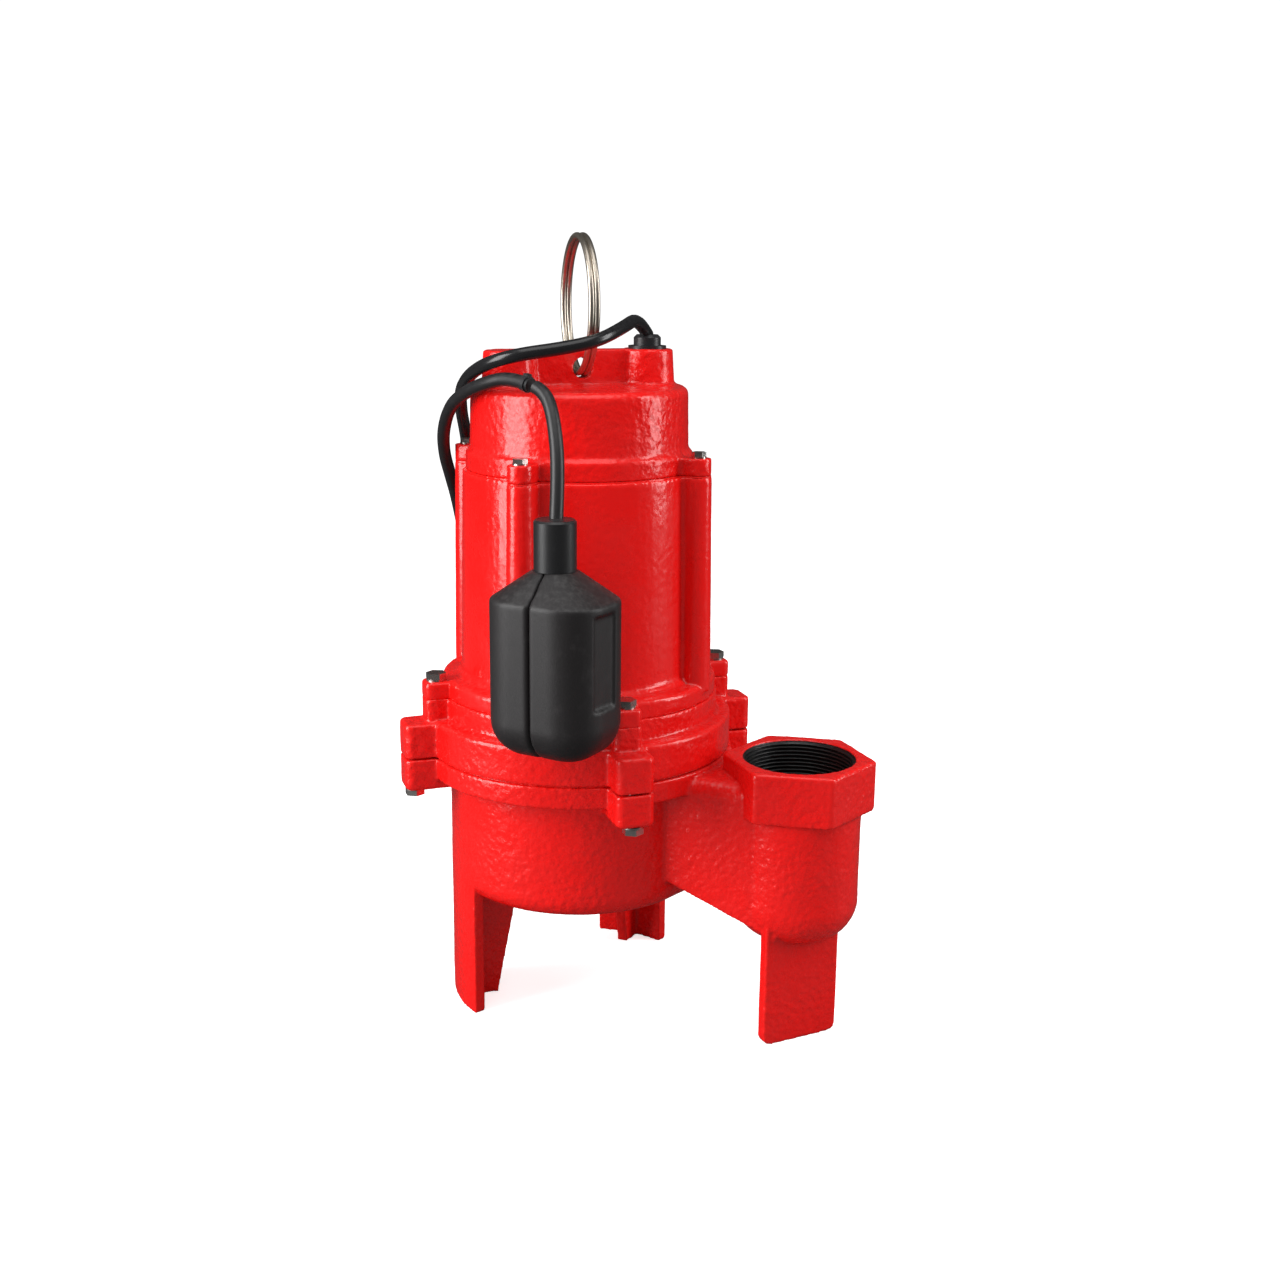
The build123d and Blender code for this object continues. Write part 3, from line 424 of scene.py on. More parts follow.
def metal_material(name, colour, roughness, lines=900.0, cloud=0.5, dark=0.55, relief=0.00003,
                   wear=1.0):
    """Plated or machined metal with drawn lines, clouding and painted shade in its hollows."""
    material, tree, shader, vector = blank_material(name, Metallic=1.0)
    plating = place_group(tree, "plating", vector, Lines=lines, Cloud=cloud)
    edges = place_group(tree, "edges", vector, Reach=0.14)
    toned = mix_colour(tree, plating.outputs["Tone"], colour, darker(colour, dark))
    # Painted shade: the hollows darkened to 0.3 of the colour.
    toned = mix_colour(tree, edges.outputs["Hollow"], toned, darker(colour, 0.3))
    tree.links.new(toned, shader.inputs["Base Color"])
    shift = math_node(tree, "MULTIPLY", plating.outputs["Roughness shift"], wear)
    tree.links.new(math_node(tree, "ADD", shift, roughness, clamp=True), shader.inputs["Roughness"])
    bump(tree, shader, plating.outputs["Height"], relief)
    return material


def cast_metal_material(name, colour, roughness, metallic):
    """Bare cast metal with the casting's own grain, and painted shade in its hollows."""
    material, tree, shader, vector = blank_material(name, Metallic=metallic)
    grain = place_group(tree, "grain", vector, Grain=520.0, Patchiness=0.2)
    edges = place_group(tree, "edges", vector, Reach=0.12)
    mottle = grain.outputs["Mottle"]
    toned = mix_colour(tree, ramp_value(tree, mottle, 0.35, 0.65), colour, darker(colour, 0.55))
    # Painted shade: the hollows darkened to a quarter of the colour.
    toned = mix_colour(tree, edges.outputs["Hollow"], toned, darker(colour, 0.25))
    tree.links.new(toned, shader.inputs["Base Color"])
    rough = ramp_value(tree, mottle, 0.3, 0.7, roughness - 0.08, roughness + 0.1)
    tree.links.new(rough, shader.inputs["Roughness"])
    bump(tree, shader, grain.outputs["Height"], 0.0004)
    return material


def moulded_material(name, colour, roughness, texture=1400.0, scuffs=0.3, relief=0.00004,
                     dust=0.1):
    """Moulded plastic or rubber with its mould texture, faint scuffs and a little dust."""
    material, tree, shader, vector = blank_material(name, IOR=1.48)
    skin = place_group(tree, "moulded", vector, Texture=texture, Scuffs=scuffs)
    settled = place_group(tree, "dust", vector, Amount=dust)
    lighter = tuple(min(1.0, value * 1.7 + 0.006) for value in colour)
    toned = mix_colour(tree, skin.outputs["Scuff"], colour, lighter)
    toned = mix_colour(tree, settled.outputs["Mask"], toned, (0.30, 0.29, 0.28))
    tree.links.new(toned, shader.inputs["Base Color"])
    rubbed = math_node(tree, "MULTIPLY", skin.outputs["Scuff"], 0.25)
    tree.links.new(math_node(tree, "ADD", rubbed, roughness), shader.inputs["Roughness"])
    bump(tree, shader, skin.outputs["Height"], relief)
    return material


def winding_material():
    """Varnished copper wire laid side by side, with painted shade between the wires."""
    material, tree, shader, vector = blank_material("copper_winding", Coat_Roughness=0.2)
    wires = add(tree, "ShaderNodeTexWave", {"Scale": 210.0, "Distortion": 1.5, "Detail": 1.0},
                bands_direction="Z")
    tree.links.new(vector, wires.inputs["Vector"])
    crest = wires.outputs["Fac"]
    # Painted shade between the wires: the wave's troughs are dark brown, its crests copper.
    tree.links.new(mix_colour(tree, crest, (0.20, 0.06, 0.02), (0.62, 0.26, 0.10)),
                   shader.inputs["Base Color"])
    tree.links.new(ramp_value(tree, crest, 0.0, 1.0, 0.5, 0.25), shader.inputs["Roughness"])
    tree.links.new(ramp_value(tree, crest, 0.0, 1.0, 0.3, 0.9), shader.inputs["Metallic"])
    bump(tree, shader, crest, 0.0003)
    return material


def lamination_material():
    """Stacked electrical steel sheets seen on edge."""
    material, tree, shader, vector = blank_material("core_laminations")
    sheets = add(tree, "ShaderNodeTexWave", {"Scale": 320.0, "Distortion": 0.4},
                 bands_direction="Z")
    tree.links.new(vector, sheets.inputs["Vector"])
    edge = sheets.outputs["Fac"]
    plating = place_group(tree, "plating", vector, Lines=500.0, Cloud=0.8)
    tree.links.new(mix_colour(tree, edge, (0.10, 0.10, 0.11), (0.34, 0.34, 0.36)),
                   shader.inputs["Base Color"])
    tree.links.new(math_node(tree, "ADD", plating.outputs["Roughness shift"], 0.42),
                   shader.inputs["Roughness"])
    tree.links.new(ramp_value(tree, edge, 0.0, 0.6, 0.5, 0.95), shader.inputs["Metallic"])
    bump(tree, shader, edge, 0.00012)
    return material


def slot_materials(scene):
    """One finish for each material slot of the record, and a few of the skins' own."""
    enamel = scene.pump_enamel
    metal = scene.pump_metal
    jacket = scene.pump_cords.jacket
    shell = scene.pump_float
    return {
        "red_casting": lambda: enamel_material(enamel, "red_enamel", 1.0),
        "smoother_red": lambda: enamel_material(enamel, "smoother_red_enamel", 0.35),
        "thread_black": lambda: cast_metal_material("thread_black", metal.thread, 0.34, 0.0),
        "zinc": lambda: metal_material("zinc_plate", metal.zinc, 0.30),
        "nickel": lambda: metal_material(
            "nickel_plate", metal.nickel, 0.36, lines=300.0, cloud=0.2, dark=0.6,
            relief=0.000001, wear=0.15),
        "steel": lambda: metal_material(
            "machined_steel", (0.55, 0.56, 0.58), 0.28, lines=1500.0),
        "black_nylon": lambda: moulded_material(
            "black_nylon", (0.016, 0.016, 0.018), 0.36, scuffs=0.2),
        "black_rubber": lambda: moulded_material("cord_rubber", jacket, 0.40, texture=1900.0),
        "glossy_jacket": lambda: moulded_material(
            "glossy_jacket", jacket, 0.22, texture=1900.0, scuffs=0.15, relief=0.00002,
            dust=0.05),
        "float_plastic": lambda: moulded_material(
            "float_shell", shell.colour, shell.roughness, texture=1500.0, scuffs=0.45,
            relief=0.00007),
        "gasket": lambda: moulded_material("gasket_sheet", (0.03, 0.012, 0.010), 0.7, dust=0.0),
        "copper_winding": winding_material,
        "core_steel": lamination_material,
        "aluminium": lambda: cast_metal_material(
            "cast_aluminium", (0.62, 0.62, 0.63), 0.42, 1.0),
        "ceramic": lambda: moulded_material(
            "seal_ceramic", (0.80, 0.77, 0.70), 0.14, scuffs=0.1, relief=0.00001, dust=0.0),
        "carbon": lambda: moulded_material(
            "seal_carbon", (0.028, 0.028, 0.030), 0.30, relief=0.00002, dust=0.0),
        "impeller_iron": lambda: cast_metal_material(
            "impeller_iron", (0.22, 0.21, 0.20), 0.55, 0.8),
        "brass": lambda: metal_material("blade_brass", (0.72, 0.52, 0.24), 0.24, cloud=0.4),
        "lead_wire": lambda: moulded_material(
            "lead_insulation", (0.62, 0.50, 0.05), 0.32, scuffs=0.2, dust=0.0),
    }


finishes = {}


def finish_of(slot):
    """The slot's material, built when it is first asked for."""
    if slot not in finishes:
        finishes[slot] = slot_materials(bpy.context.scene)[slot]()
    return finishes[slot]


def slot_of(node):
    for part in frame["record"]["subparts"]:
        if part["node"] == node:
            return part["material_slot"]
    raise ValueError(f"no sub-part named {node}")


def paint(*names, finish=None):
    """Gives CAD nodes the finish of their own slots, or another."""
    for name in names:
        for place in nodes[name].material_slots:
            place.material = finish_of(finish or slot_of(name))


def show(piece, body, slot, finish=None):
    """Links a new piece, gives it a finish, its slot's or another, and lets it ride on its body."""
    bpy.context.scene.collection.objects.link(piece)
    piece.data.materials.append(finish_of(finish or slot))
    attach(piece, body)
    return piece


def smooth_shade(mesh):
    mesh.polygons.foreach_set("use_smooth", [True] * len(mesh.polygons))
    mesh.update()


def bridge(bm, loops, closed=True):
    """Faces between neighbouring loops and, where closed, from the last to the first."""
    following = loops[1:] + loops[:1] if closed else loops[1:]
    for first, second in zip(loops, following):
        for step in range(len(first)):
            after = (step + 1) % len(first)
            bm.faces.new((first[step], second[step], second[after], first[after]))


def piece_from(bm, name):
    """The surface as a smooth object of its own."""
    mesh = bpy.data.meshes.new(name)
    bm.to_mesh(mesh)
    bm.free()
    smooth_shade(mesh)
    return bpy.data.objects.new(name, mesh)


# ---------------------------------------------------------------- castings

THREAD_ROOT = 0.0306
THREAD_CREST = 0.0292
THREAD_PITCH = 0.002209
THREAD_LOW = 0.1330
THREAD_HIGH = 0.1582
THREAD_LEAD_IN = 0.0016
SLEEVE_WALL = 0.0004
BORE_CREST = 0.0280
WELD_GAP = 0.000004


def welded_copy(node):
    """The node's surface as one closed mesh."""
    bm = bmesh.new()
    bm.from_mesh(nodes[node].data)
    bmesh.ops.remove_doubles(bm, verts=bm.verts, dist=WELD_GAP)
    return bm


def plain_bore(bm):
    """Opens the discharge's mouth to the thread's root. The thread is a piece of its own."""
    for vertex in bm.verts:
        away = vertex.co - DISCHARGE
        reach = math.hypot(away.x, away.y)
        if BORE_CREST < reach < THREAD_ROOT and vertex.co.z > THREAD_LOW - 0.0002:
            grow = THREAD_ROOT / reach
            vertex.co.x = DISCHARGE.x + away.x * grow
            vertex.co.y = DISCHARGE.y + away.y * grow


def moulded_skin(node, body, voxel, rounding, relief=0.0, finish=None):
    """The node with rounded edges and, where it has relief, the low waves of a sand mould."""
    bm = welded_copy(node)
    if node == "volute_casing":
        plain_bore(bm)
    skin = piece_from(bm, node + "_skin")
    bpy.context.scene.collection.objects.link(skin)
    remesh = skin.modifiers.new("mould", "REMESH")
    remesh.mode = "VOXEL"
    remesh.voxel_size = voxel
    smoother = skin.modifiers.new("rounding", "SMOOTH")
    smoother.factor = 0.5
    smoother.iterations = rounding
    if relief:
        for label, size, height in (("sand", 0.0026, relief), ("waves", 0.016, relief * 1.4)):
            texture = bpy.data.textures.new(label, "CLOUDS")
            texture.noise_scale = size
            texture.noise_depth = 1
            waves = skin.modifiers.new(label, "DISPLACE")
            waves.texture = texture
            waves.texture_coords = "LOCAL"
            waves.strength = height
            waves.mid_level = 0.5
    graph = bpy.context.evaluated_depsgraph_get()
    mesh = bpy.data.meshes.new_from_object(skin.evaluated_get(graph))
    skin.modifiers.clear()
    skin.data = mesh
    smooth_shade(mesh)
    slot = slot_of(node)
    mesh.materials.clear()
    mesh.materials.append(finish_of(finish or slot))
    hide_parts(node)
    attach(skin, body)
    return skin


def thread_sleeve():
    """The discharge's pipe thread: one helix, as a thin closed sleeve in the mouth."""
    around = 120
    tall = THREAD_HIGH - THREAD_LOW
    up = round(tall / THREAD_PITCH * 10)
    bm = bmesh.new()

    def vertex(reach, turn, z):
        return bm.verts.new((DISCHARGE.x + reach * math.cos(turn),
                             DISCHARGE.y + reach * math.sin(turn), z))

    loops = []
    for level in range(up + 1):
        z = THREAD_LOW + tall * level / up
        lead_in = min(1.0, (THREAD_HIGH - z) / THREAD_LEAD_IN)
        loop = []
        for step, turn in enumerate(turns(around)):
            phase = ((z - THREAD_LOW) / THREAD_PITCH - step / around) % 1.0
            flank = min(1.0, max(0.0, 1.55 - 2.0 * abs(2 * phase - 1)))
            reach = THREAD_ROOT - (THREAD_ROOT - THREAD_CREST) * flank * lead_in
            loop.append(vertex(reach, turn, z))
        loops.append(loop)
    for z in (THREAD_HIGH, THREAD_LOW):
        loops.append([vertex(THREAD_ROOT + SLEEVE_WALL, turn, z) for turn in turns(around)])
    bridge(bm, loops)
    bmesh.ops.recalc_face_normals(bm, faces=bm.faces)
    return piece_from(bm, "discharge_thread")


# ---------------------------------------------------------------- lift ring

RING_HEIGHT = 398.6
RING_TURN = math.radians(37.6)
RING_SPACING = 0.0031
RING_REACH = 0.0366
RING_WIRE = 0.00165


def hoop(bm, centre, axle, across, around=144, sides=20):
    """One closed round turn of wire about the axle."""
    loops = []
    for turn in turns(around):
        out = across * math.cos(turn) + Vector((0, 0, math.sin(turn)))
        loops.append([bm.verts.new(centre + out * (RING_REACH + RING_WIRE * math.cos(angle))
                                   + axle * (RING_WIRE * math.sin(angle)))
                      for angle in turns(sides)])
    bridge(bm, loops)
    bmesh.ops.recalc_face_normals(bm, faces=bm.faces)


# ---------------------------------------------------------------- cords

COIL_CENTRE = (-112.7, 179.0)
COIL_MID = 44.0
COIL_ENTRY = -121.6
COIL_TURNS = 8.41
TURN_POINTS = 14

POWER_ROUTE = [
    (28.3, 28.3, 382.4), (30.5, 9.5, 392.3), (32.5, -14.0, 387.8), (28.0, -36.5, 381.4),
    (13.0, -50.6, 377.6), (-2.6, -64.0, 375.1), (-20.5, -64.2, 370.6), (-39.0, -51.5, 363.8),
    (-61.0, -25.0, 352.5), (-70.0, -8.4, 338.0), (-75.4, 4.0, 329.2), (-82.0, 21.0, 309.0),
    (-87.0, 41.0, 276.0), (-91.0, 56.0, 232.0), (-92.6, 64.5, 180.0), (-94.0, 69.4, 122.0),
    (-95.0, 76.0, 66.0), (-100.0, 84.0, 26.0), (-111.0, 97.0, 6.0), (-126.0, 112.0, 4.0),
    (-141.0, 133.0, 6.0)]
LEAD_ROUTE = [
    (6.8, -71.6, 360.0), (-9.4, -64.2, 363.2), (-26.2, -60.0, 359.2), (-44.5, -48.8, 353.0),
    (-61.4, -35.8, 344.0), (-75.2, -20.3, 328.8), (-85.1, -2.8, 313.5), (-92.3, 16.0, 298.5),
    (-99.2, 36.0, 280.0), (-104.0, 55.0, 246.0), (-107.0, 70.0, 200.0), (-109.0, 78.0, 150.0),
    (-111.0, 83.0, 100.0), (-115.0, 89.0, 62.0), (-124.0, 101.0, 39.0), (-134.0, 117.0, 32.0),
    (-141.5, 134.0, 31.0)]
POWER_TAIL = [
    (-111.0, 231.0, 10.0), (-95.0, 229.5, 9.5), (-79.0, 231.0, 12.0), (-62.5, 230.0, 14.0),
    (-48.9, 219.0, 15.0), (-42.7, 205.9, 15.0)]
LEAD_TAIL = [
    (-111.0, 232.0, 37.0), (-94.0, 231.0, 33.0), (-70.0, 235.0, 29.0), (-42.0, 239.0, 25.0),
    (-15.0, 236.0, 20.0), (10.0, 226.0, 16.0), (27.0, 210.0, 15.0), (31.0, 189.0, 15.0),
    (21.5, 171.1, 15.0), (1.6, 161.7, 15.0)]
TETHER_ROUTE = [
    (10.4, -73.3, 359.3), (17.5, -76.0, 357.0), (25.5, -83.0, 344), (32.5, -92.5, 320),
    (34.6, -100.2, 293)]
POWER_PLUG_TURN = math.radians(-64.6)

# Columns count outwards from the middle one and rows upwards, one pair for each turn.
POWER_LAY = [(1, 0), (0, 0), (-1, 0), (-1, 1), (0, 1), (-1, 2), (0, 2), (1, 2), (1, 1)]
LEAD_LAY = [(1, 1), (1, 0), (0, 0), (-1, 0), (-1, 1), (0, 1), (-1, 2), (0, 2), (1, 2)]


def coil_points(lay, low, pitch):
    """The coil's turns, wound clockwise, each moving over to its next place near its end."""
    fit = 1 / math.cos(math.pi / TURN_POINTS)
    points = []
    for step in range(1, round(COIL_TURNS * TURN_POINTS)):
        turn, part = divmod(step / TURN_POINTS, 1.0)
        share = max(0.0, (part - 0.75) / 0.25)
        share = share * share * (3 - 2 * share)
        here = lay[int(turn)]
        after = lay[min(int(turn) + 1, len(lay) - 1)]
        column = here[0] + (after[0] - here[0]) * share
        level = here[1] + (after[1] - here[1]) * share
        angle = math.radians(COIL_ENTRY - 360 * step / TURN_POINTS)
        reach = (COIL_MID + column * (pitch + 0.4)) * fit
        points.append((COIL_CENTRE[0] + reach * math.cos(angle),
                       COIL_CENTRE[1] + reach * math.sin(angle),
                       low + pitch / 2 + level * pitch))
    return points


def curve_piece(name, points, diameter, body, finish="black_rubber"):
    """A smooth round cord with the route's points as its control points."""
    curve = bpy.data.curves.new(name, "CURVE")
    curve.dimensions = "3D"
    curve.bevel_depth = diameter / 2
    curve.bevel_resolution = 5
    curve.resolution_u = 8
    curve.use_fill_caps = True
    spline = curve.splines.new("NURBS")
    spline.points.add(len(points) - 1)
    for place, point in zip(spline.points, points):
        place.co = (*point, 1.0)
    spline.order_u = 3
    spline.use_endpoint_u = True
    spline.use_smooth = True
    return show(bpy.data.objects.new(name, curve), body, "black_rubber", finish)


def coil_strap(name, angle):
    """A hook-and-loop strap round both coils."""
    half_width = 14.2
    low = 0.6
    high = 43.6
    corner = 5.0
    right = half_width - corner
    outline = []
    for cx, cz, first in ((right, high - corner, 0), (-right, high - corner, 90),
                          (-right, low + corner, 180), (right, low + corner, 270)):
        for step in range(7):
            turn = math.radians(first + step * 15)
            outline.append((cx + corner * math.cos(turn), cz + corner * math.sin(turn)))
    out, side = level_axes(math.radians(angle))
    centre = row([(*COIL_CENTRE, 0)])[0] + out * (COIL_MID / 1000)
    bm = bmesh.new()
    bridge(bm, [[bm.verts.new(centre + side * shift + out * (x / 1000) + Vector((0, 0, z / 1000)))
                 for x, z in outline]
                for shift in (-0.0075, -0.0070, 0.0070, 0.0075)], closed=False)
    piece = show(piece_from(bm, name), "pump", "black_nylon")
    body = piece.modifiers.new("thickness", "SOLIDIFY")
    body.thickness = 0.0010
    body.offset = 0.0
    return piece


def plug_relief(name, place, turn, length):
    """Moulded ribs round the cord where it enters a plug, narrowing away from it."""
    ribs = 6
    hole = 0.0032
    foot = 0.0042
    widest = 0.0064
    taper = 0.0019
    edge = 0.0005
    profile = []
    for rib in range(ribs):
        start = -length * (rib + 0.15) / ribs
        end = -length * (rib + 0.75) / ribs
        reach = widest - taper * rib / (ribs - 1)
        profile += [(start, foot), (start, reach - edge), (start - edge, reach),
                    (end + edge, reach), (end, reach - edge), (end, foot)]
    profile += [(profile[-1][0], hole), (profile[0][0], hole)]
    heading, side = level_axes(turn)
    up = Vector((0, 0, 1))
    bm = bmesh.new()
    bridge(bm, [[bm.verts.new(place + heading * along + side * (reach * math.cos(angle))
                              + up * (reach * math.sin(angle)))
                 for angle in turns(28)]
                for along, reach in profile])
    bmesh.ops.recalc_face_normals(bm, faces=bm.faces)
    return show(piece_from(bm, name), "pump", "black_rubber")


# ---------------------------------------------------------------- operators

class PUMP_OT_camera(bpy.types.Operator):
    """Places the camera"""
    bl_idname = "pump.camera"
    bl_label = "Camera"

    def execute(self, context):
        settings = context.scene.pump_stage
        data = bpy.data.cameras.new("studio_camera")
        data.lens = settings.lens
        data.sensor_width = 36
        data.clip_start = 0.01
        data.clip_end = 50
        camera = bpy.data.objects.new("studio_camera", data)
        turn = Matrix.Rotation(settings.heading, 4, "Z")
        tilt = Matrix.Rotation(math.radians(90) - settings.pitch, 4, "X")
        roll = Matrix.Rotation(settings.roll, 4, "Z")
        camera.matrix_world = Matrix.Translation(settings.eye) @ turn @ tilt @ roll
        context.scene.collection.objects.link(camera)
        context.scene.camera = camera
        return {"FINISHED"}


class PUMP_OT_power_cord(bpy.types.Operator):
    """Lays the power cord from the gland over the cap, down behind the pump and to its plug"""
    bl_idname = "pump.power_cord"
    bl_label = "Power cord"

    def execute(self, context):
        settings = context.scene.pump_cords
        width = settings.power_diameter
        points = row(POWER_ROUTE + coil_points(POWER_LAY, 0.0, width * 1000) + POWER_TAIL)
        cord = curve_piece("power_cord_line", points, width, "pump", "glossy_jacket")
        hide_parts("power_cord", "power_cord_coil", "power_cord_tail")
        relief = plug_relief("power_plug_relief", points[-1], POWER_PLUG_TURN, 0.022)
        paint("power_plug_body", "power_plug_blades")
        return {"FINISHED"}


class PUMP_OT_float_lead(bpy.types.Operator):
    """Lays the float's lead from its tie, down behind the pump and to its piggyback plug"""
    bl_idname = "pump.float_lead"
    bl_label = "Float lead"

    def execute(self, context):
        settings = context.scene.pump_cords
        width = settings.lead_diameter
        points = row(LEAD_ROUTE + coil_points(LEAD_LAY, 21.0, width * 1000) + LEAD_TAIL)
        lead = curve_piece("float_lead_line", points, width, "pump")
        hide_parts("float_lead", "float_lead_coil", "float_lead_tail")
        paint("piggyback_plug_body", "piggyback_plug_blades", "cord_tie")
        straps = [coil_strap("coil_strap_near", 20), coil_strap("coil_strap_far", 205)]
        return {"FINISHED"}


class PUMP_OT_tether(bpy.types.Operator):
    """Hangs the float on its tether"""
    bl_idname = "pump.tether"
    bl_label = "Float tether"

    def execute(self, context):
        width = context.scene.pump_cords.lead_diameter
        points = row(TETHER_ROUTE)
        tether = curve_piece("float_tether_line", points, width, "float")
        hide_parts("float_tether")
        return {"FINISHED"}


class PUMP_OT_castings(bpy.types.Operator):
    """Gives the four castings their rounded, enamelled skins and paints over the gaskets"""
    bl_idname = "pump.castings"
    bl_label = "Castings"

    def execute(self, context):
        settings = context.scene.pump_enamel
        for node, share, finish in (("volute_casing", 1.0, "red_casting"),
                                    ("seal_plate", 0.8, "red_casting"),
                                    ("motor_housing", 0.55, "smoother_red"),
                                    ("motor_cap", 1.0, "red_casting")):
            moulded_skin(node, "pump", settings.voxel, settings.rounding,
                         settings.relief * share, finish)
        paint("volute_gasket", "cap_gasket", finish="red_casting")
        return {"FINISHED"}


class PUMP_OT_thread(bpy.types.Operator):
    """Cuts the discharge's pipe thread"""
    bl_idname = "pump.thread"
    bl_label = "Discharge thread"

    def execute(self, context):
        show(thread_sleeve(), "pump", "red_casting", "thread_black")
        return {"FINISHED"}


class PUMP_OT_fasteners(bpy.types.Operator):
    """Plates the bolts, screws and washers"""
    bl_idname = "pump.fasteners"
    bl_label = "Bolts and screws"

    def execute(self, context):
        paint("volute_bolts", "volute_lock_washers", "housing_bolts", "housing_lock_washers",
              "cap_screws", "cap_lock_washers")
        return {"FINISHED"}


class PUMP_OT_lift_ring(bpy.types.Operator):
    """Bends the split lift ring's two turns and plates them"""
    bl_idname = "pump.lift_ring"
    bl_label = "Lift ring"

    def execute(self, context):
        bm = bmesh.new()
        centre = row([(0, 0, RING_HEIGHT)])[0]
        axle, across = level_axes(RING_TURN)
        for shift in (-RING_SPACING / 2, RING_SPACING / 2):
            hoop(bm, centre + axle * shift, axle, across)
        piece = show(piece_from(bm, "lift_ring_turns"), "lift_ring", "nickel")
        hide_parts("lift_ring")
        return {"FINISHED"}


class PUMP_OT_gland(bpy.types.Operator):
    """Finishes the power cord's gland"""
    bl_idname = "pump.gland"
    bl_label = "Cord gland"

    def execute(self, context):
        paint("gland_body", "gland_nut", "gland_grommet")
        return {"FINISHED"}


class PUMP_OT_float(bpy.types.Operator):
    """Finishes the float switch"""
    bl_idname = "pump.float"
    bl_label = "Float switch"

    def execute(self, context):
        for shell in ("float_shell_left", "float_shell_right"):
            moulded_skin(shell, "float", 0.0008, 10)
        paint("float_neck_boot", "float_switch_capsule", "float_ball")
        return {"FINISHED"}


class PUMP_OT_inner_parts(bpy.types.Operator):
    """Finishes the motor, the shaft seal, the impeller and the joints' seals"""
    bl_idname = "pump.inner_parts"
    bl_label = "Inner parts"

    def execute(self, context):
        paint("seal_plate_oring", "shaft", "rotor_core", "rotor_end_rings",
              "stator_core", "stator_windings", "bearing_bracket", "wave_washer",
              "bearing_retaining_ring", "seal_seat", "seal_seat_cup", "seal_head",
              "seal_bellows", "impeller", "impeller_nut", "capacitor", "capacitor_strap",
              "thermal_protector", "motor_leads")
        for place in ("lower", "upper"):
            for piece in ("outer_ring", "inner_ring", "balls", "cage"):
                paint(f"{place}_bearing_{piece}")
        return {"FINISHED"}


LIGHT_AIM = Vector((-0.04, 0.02, 0.22))

# Each light's name, azimuth in degrees, height, distance, size and power.
SOFT_BOXES = (
    ("left_box", -66, 0.62, 1.35, (0.75, 1.5), 30),
    ("right_box", 86, 0.70, 1.25, (0.35, 1.2), 10),
    ("top_box", 10, 1.75, 0.55, (1.4, 1.4), 12),
)


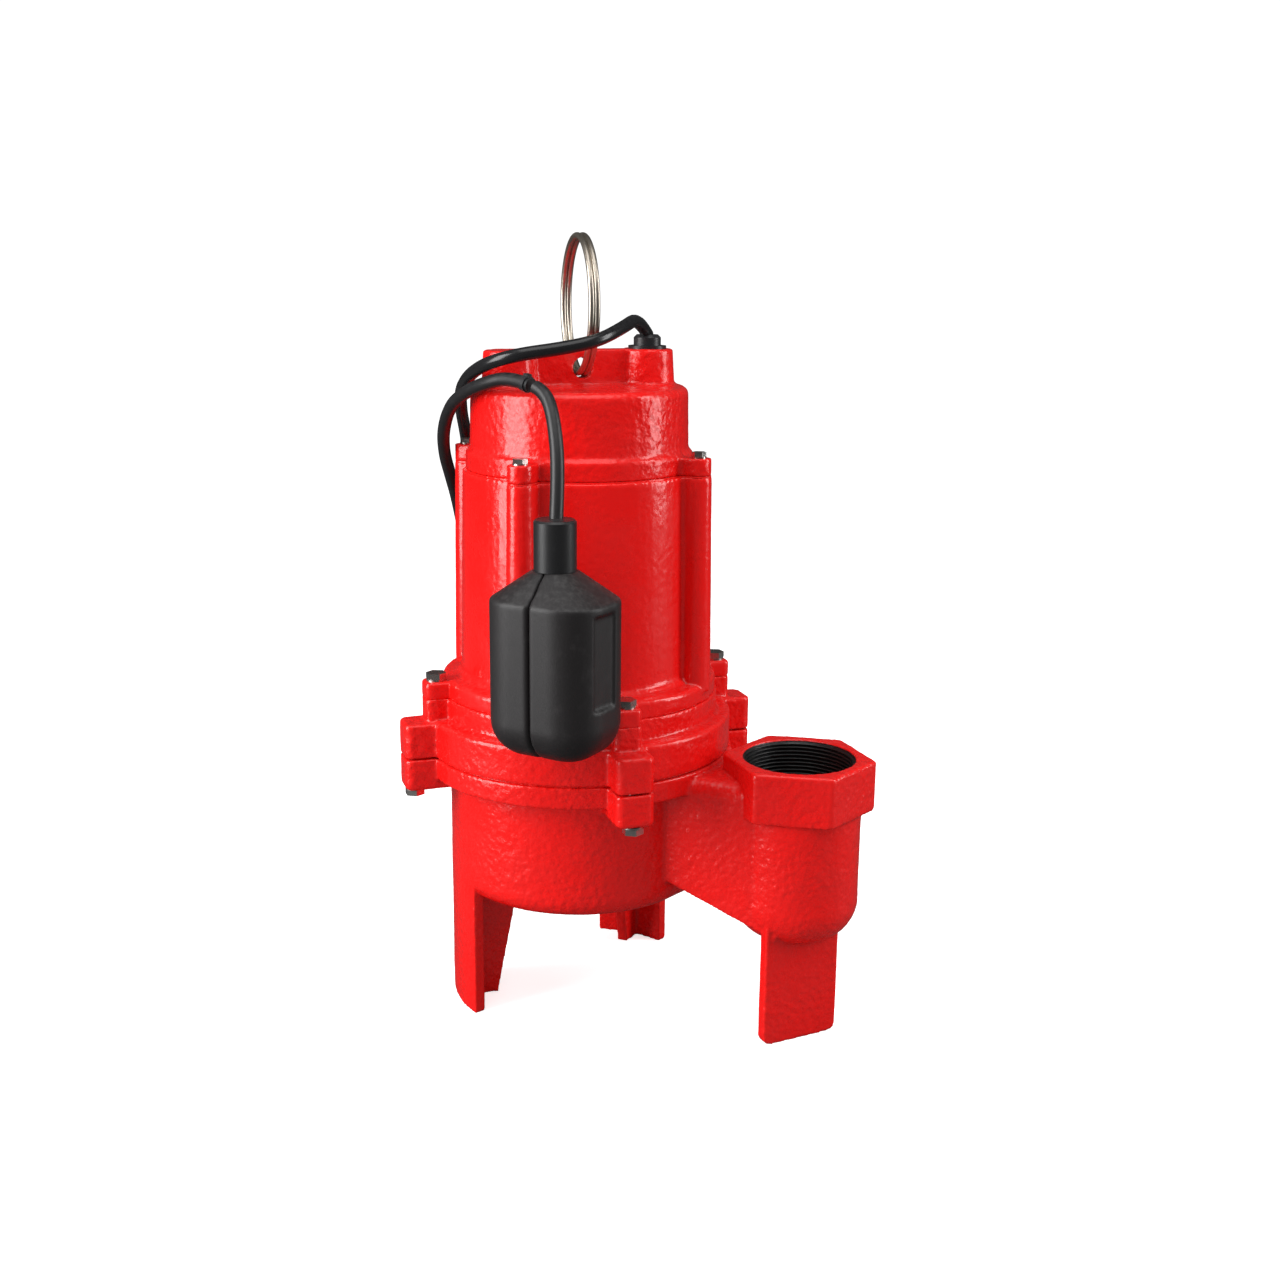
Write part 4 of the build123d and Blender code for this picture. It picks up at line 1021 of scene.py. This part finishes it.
class PUMP_OT_stage(bpy.types.Operator):
    """Sets up the pale floor and the soft studio light"""
    bl_idname = "pump.stage"
    bl_label = "Stage"

    def execute(self, context):
        settings = context.scene.pump_stage
        self.lay_floor(context, settings)
        context.scene.world = self.studio_air()
        for name, azimuth, height, distance, size, power in SOFT_BOXES:
            self.soft_box(context, name, settings, math.radians(azimuth), height, distance,
                          size, power)
        context.scene.view_settings.view_transform = "Standard"
        return {"FINISHED"}

    def lay_floor(self, context, settings):
        """Paper that looks white, but lights the pump less and hardly shows in its reflections."""
        bm = bmesh.new()
        bmesh.ops.create_grid(bm, x_segments=8, y_segments=8, size=6.0)
        floor = piece_from(bm, "studio_floor")
        context.scene.collection.objects.link(floor)
        material, tree, shader, _ = blank_material("floor_paper", Roughness=0.85)
        path = add(tree, "ShaderNodeLightPath")
        seen = path.outputs["Is Camera Ray"]
        toned = mix_colour(tree, seen, (0.34, 0.34, 0.34), settings.floor)
        toned = mix_colour(tree, path.outputs["Is Glossy Ray"], toned, (0.05, 0.05, 0.05))
        tree.links.new(toned, shader.inputs["Base Color"])
        shader.inputs["Emission Color"].default_value = (1, 1, 1, 1)
        tree.links.new(math_node(tree, "MULTIPLY", seen, 0.70),
                       shader.inputs["Emission Strength"])
        floor.data.materials.append(material)

    def studio_air(self):
        """White behind the pump, softer on its surfaces and nearly dark in its reflections."""
        world = bpy.data.worlds.new("studio_air")
        world.use_nodes = True
        tree = world.node_tree
        air = tree.nodes["Background"]
        air.inputs["Color"].default_value = (1, 1, 1, 1)
        path = add(tree, "ShaderNodeLightPath")
        seen = math_node(tree, "MULTIPLY", path.outputs["Is Camera Ray"], 0.60)
        dim = math_node(tree, "MULTIPLY", path.outputs["Is Glossy Ray"], -0.43)
        strength = math_node(tree, "ADD", math_node(tree, "ADD", seen, dim), 0.48)
        tree.links.new(strength, air.inputs["Strength"])
        return world

    def soft_box(self, context, name, settings, azimuth, height, distance, size, power):
        """A rectangular light that faces the pump. Azimuth is from the camera to the right."""
        data = bpy.data.lights.new(name, "AREA")
        data.shape = "RECTANGLE"
        data.size, data.size_y = size
        data.energy = power
        lamp = bpy.data.objects.new(name, data)
        heading = settings.heading + azimuth
        place = Vector((LIGHT_AIM.x + distance * math.sin(heading),
                        LIGHT_AIM.y - distance * math.cos(heading), height))
        lamp.location = place
        lamp.rotation_mode = "QUATERNION"
        lamp.rotation_quaternion = (LIGHT_AIM - place).to_track_quat("-Z", "Y")
        context.scene.collection.objects.link(lamp)


PIECES = (PUMP_OT_camera, PUMP_OT_power_cord, PUMP_OT_float_lead, PUMP_OT_tether,
          PUMP_OT_castings, PUMP_OT_thread, PUMP_OT_fasteners, PUMP_OT_lift_ring, PUMP_OT_gland,
          PUMP_OT_float, PUMP_OT_inner_parts, PUMP_OT_stage)


class PUMP_PT_sidebar(bpy.types.Panel):
    """Lists the pump's pieces and their settings"""
    bl_idname = "PUMP_PT_sidebar"
    bl_label = "Sump pump"
    bl_space_type = "VIEW_3D"
    bl_region_type = "UI"
    bl_category = "Sump pump"

    def draw(self, context):
        for group in SETTINGS:
            settings = getattr(context.scene, group)
            box = self.layout.box()
            for name in settings.__annotations__:
                box.prop(settings, name)
        for piece in PIECES:
            self.layout.operator(piece.bl_idname)


SETTINGS = {
    "pump_enamel": EnamelSettings,
    "pump_metal": MetalSettings,
    "pump_cords": CordSettings,
    "pump_float": FloatSettings,
    "pump_stage": StageSettings,
}


def register():
    for name, group in SETTINGS.items():
        bpy.utils.register_class(group)
        setattr(bpy.types.Scene, name, PointerProperty(type=group))
    for piece in (*PIECES, PUMP_PT_sidebar):
        bpy.utils.register_class(piece)


def unregister():
    for piece in (PUMP_PT_sidebar, *reversed(PIECES)):
        bpy.utils.unregister_class(piece)
    for name, group in SETTINGS.items():
        delattr(bpy.types.Scene, name)
        bpy.utils.unregister_class(group)


def main():
    register()
    bpy.ops.pump.camera()
    bpy.ops.pump.power_cord()
    bpy.ops.pump.float_lead()
    bpy.ops.pump.tether()
    bpy.ops.pump.castings()
    bpy.ops.pump.thread()
    bpy.ops.pump.fasteners()
    bpy.ops.pump.lift_ring()
    bpy.ops.pump.gland()
    bpy.ops.pump.float()
    bpy.ops.pump.inner_parts()
    bpy.ops.pump.stage()


if __name__ == "__main__":
    main()
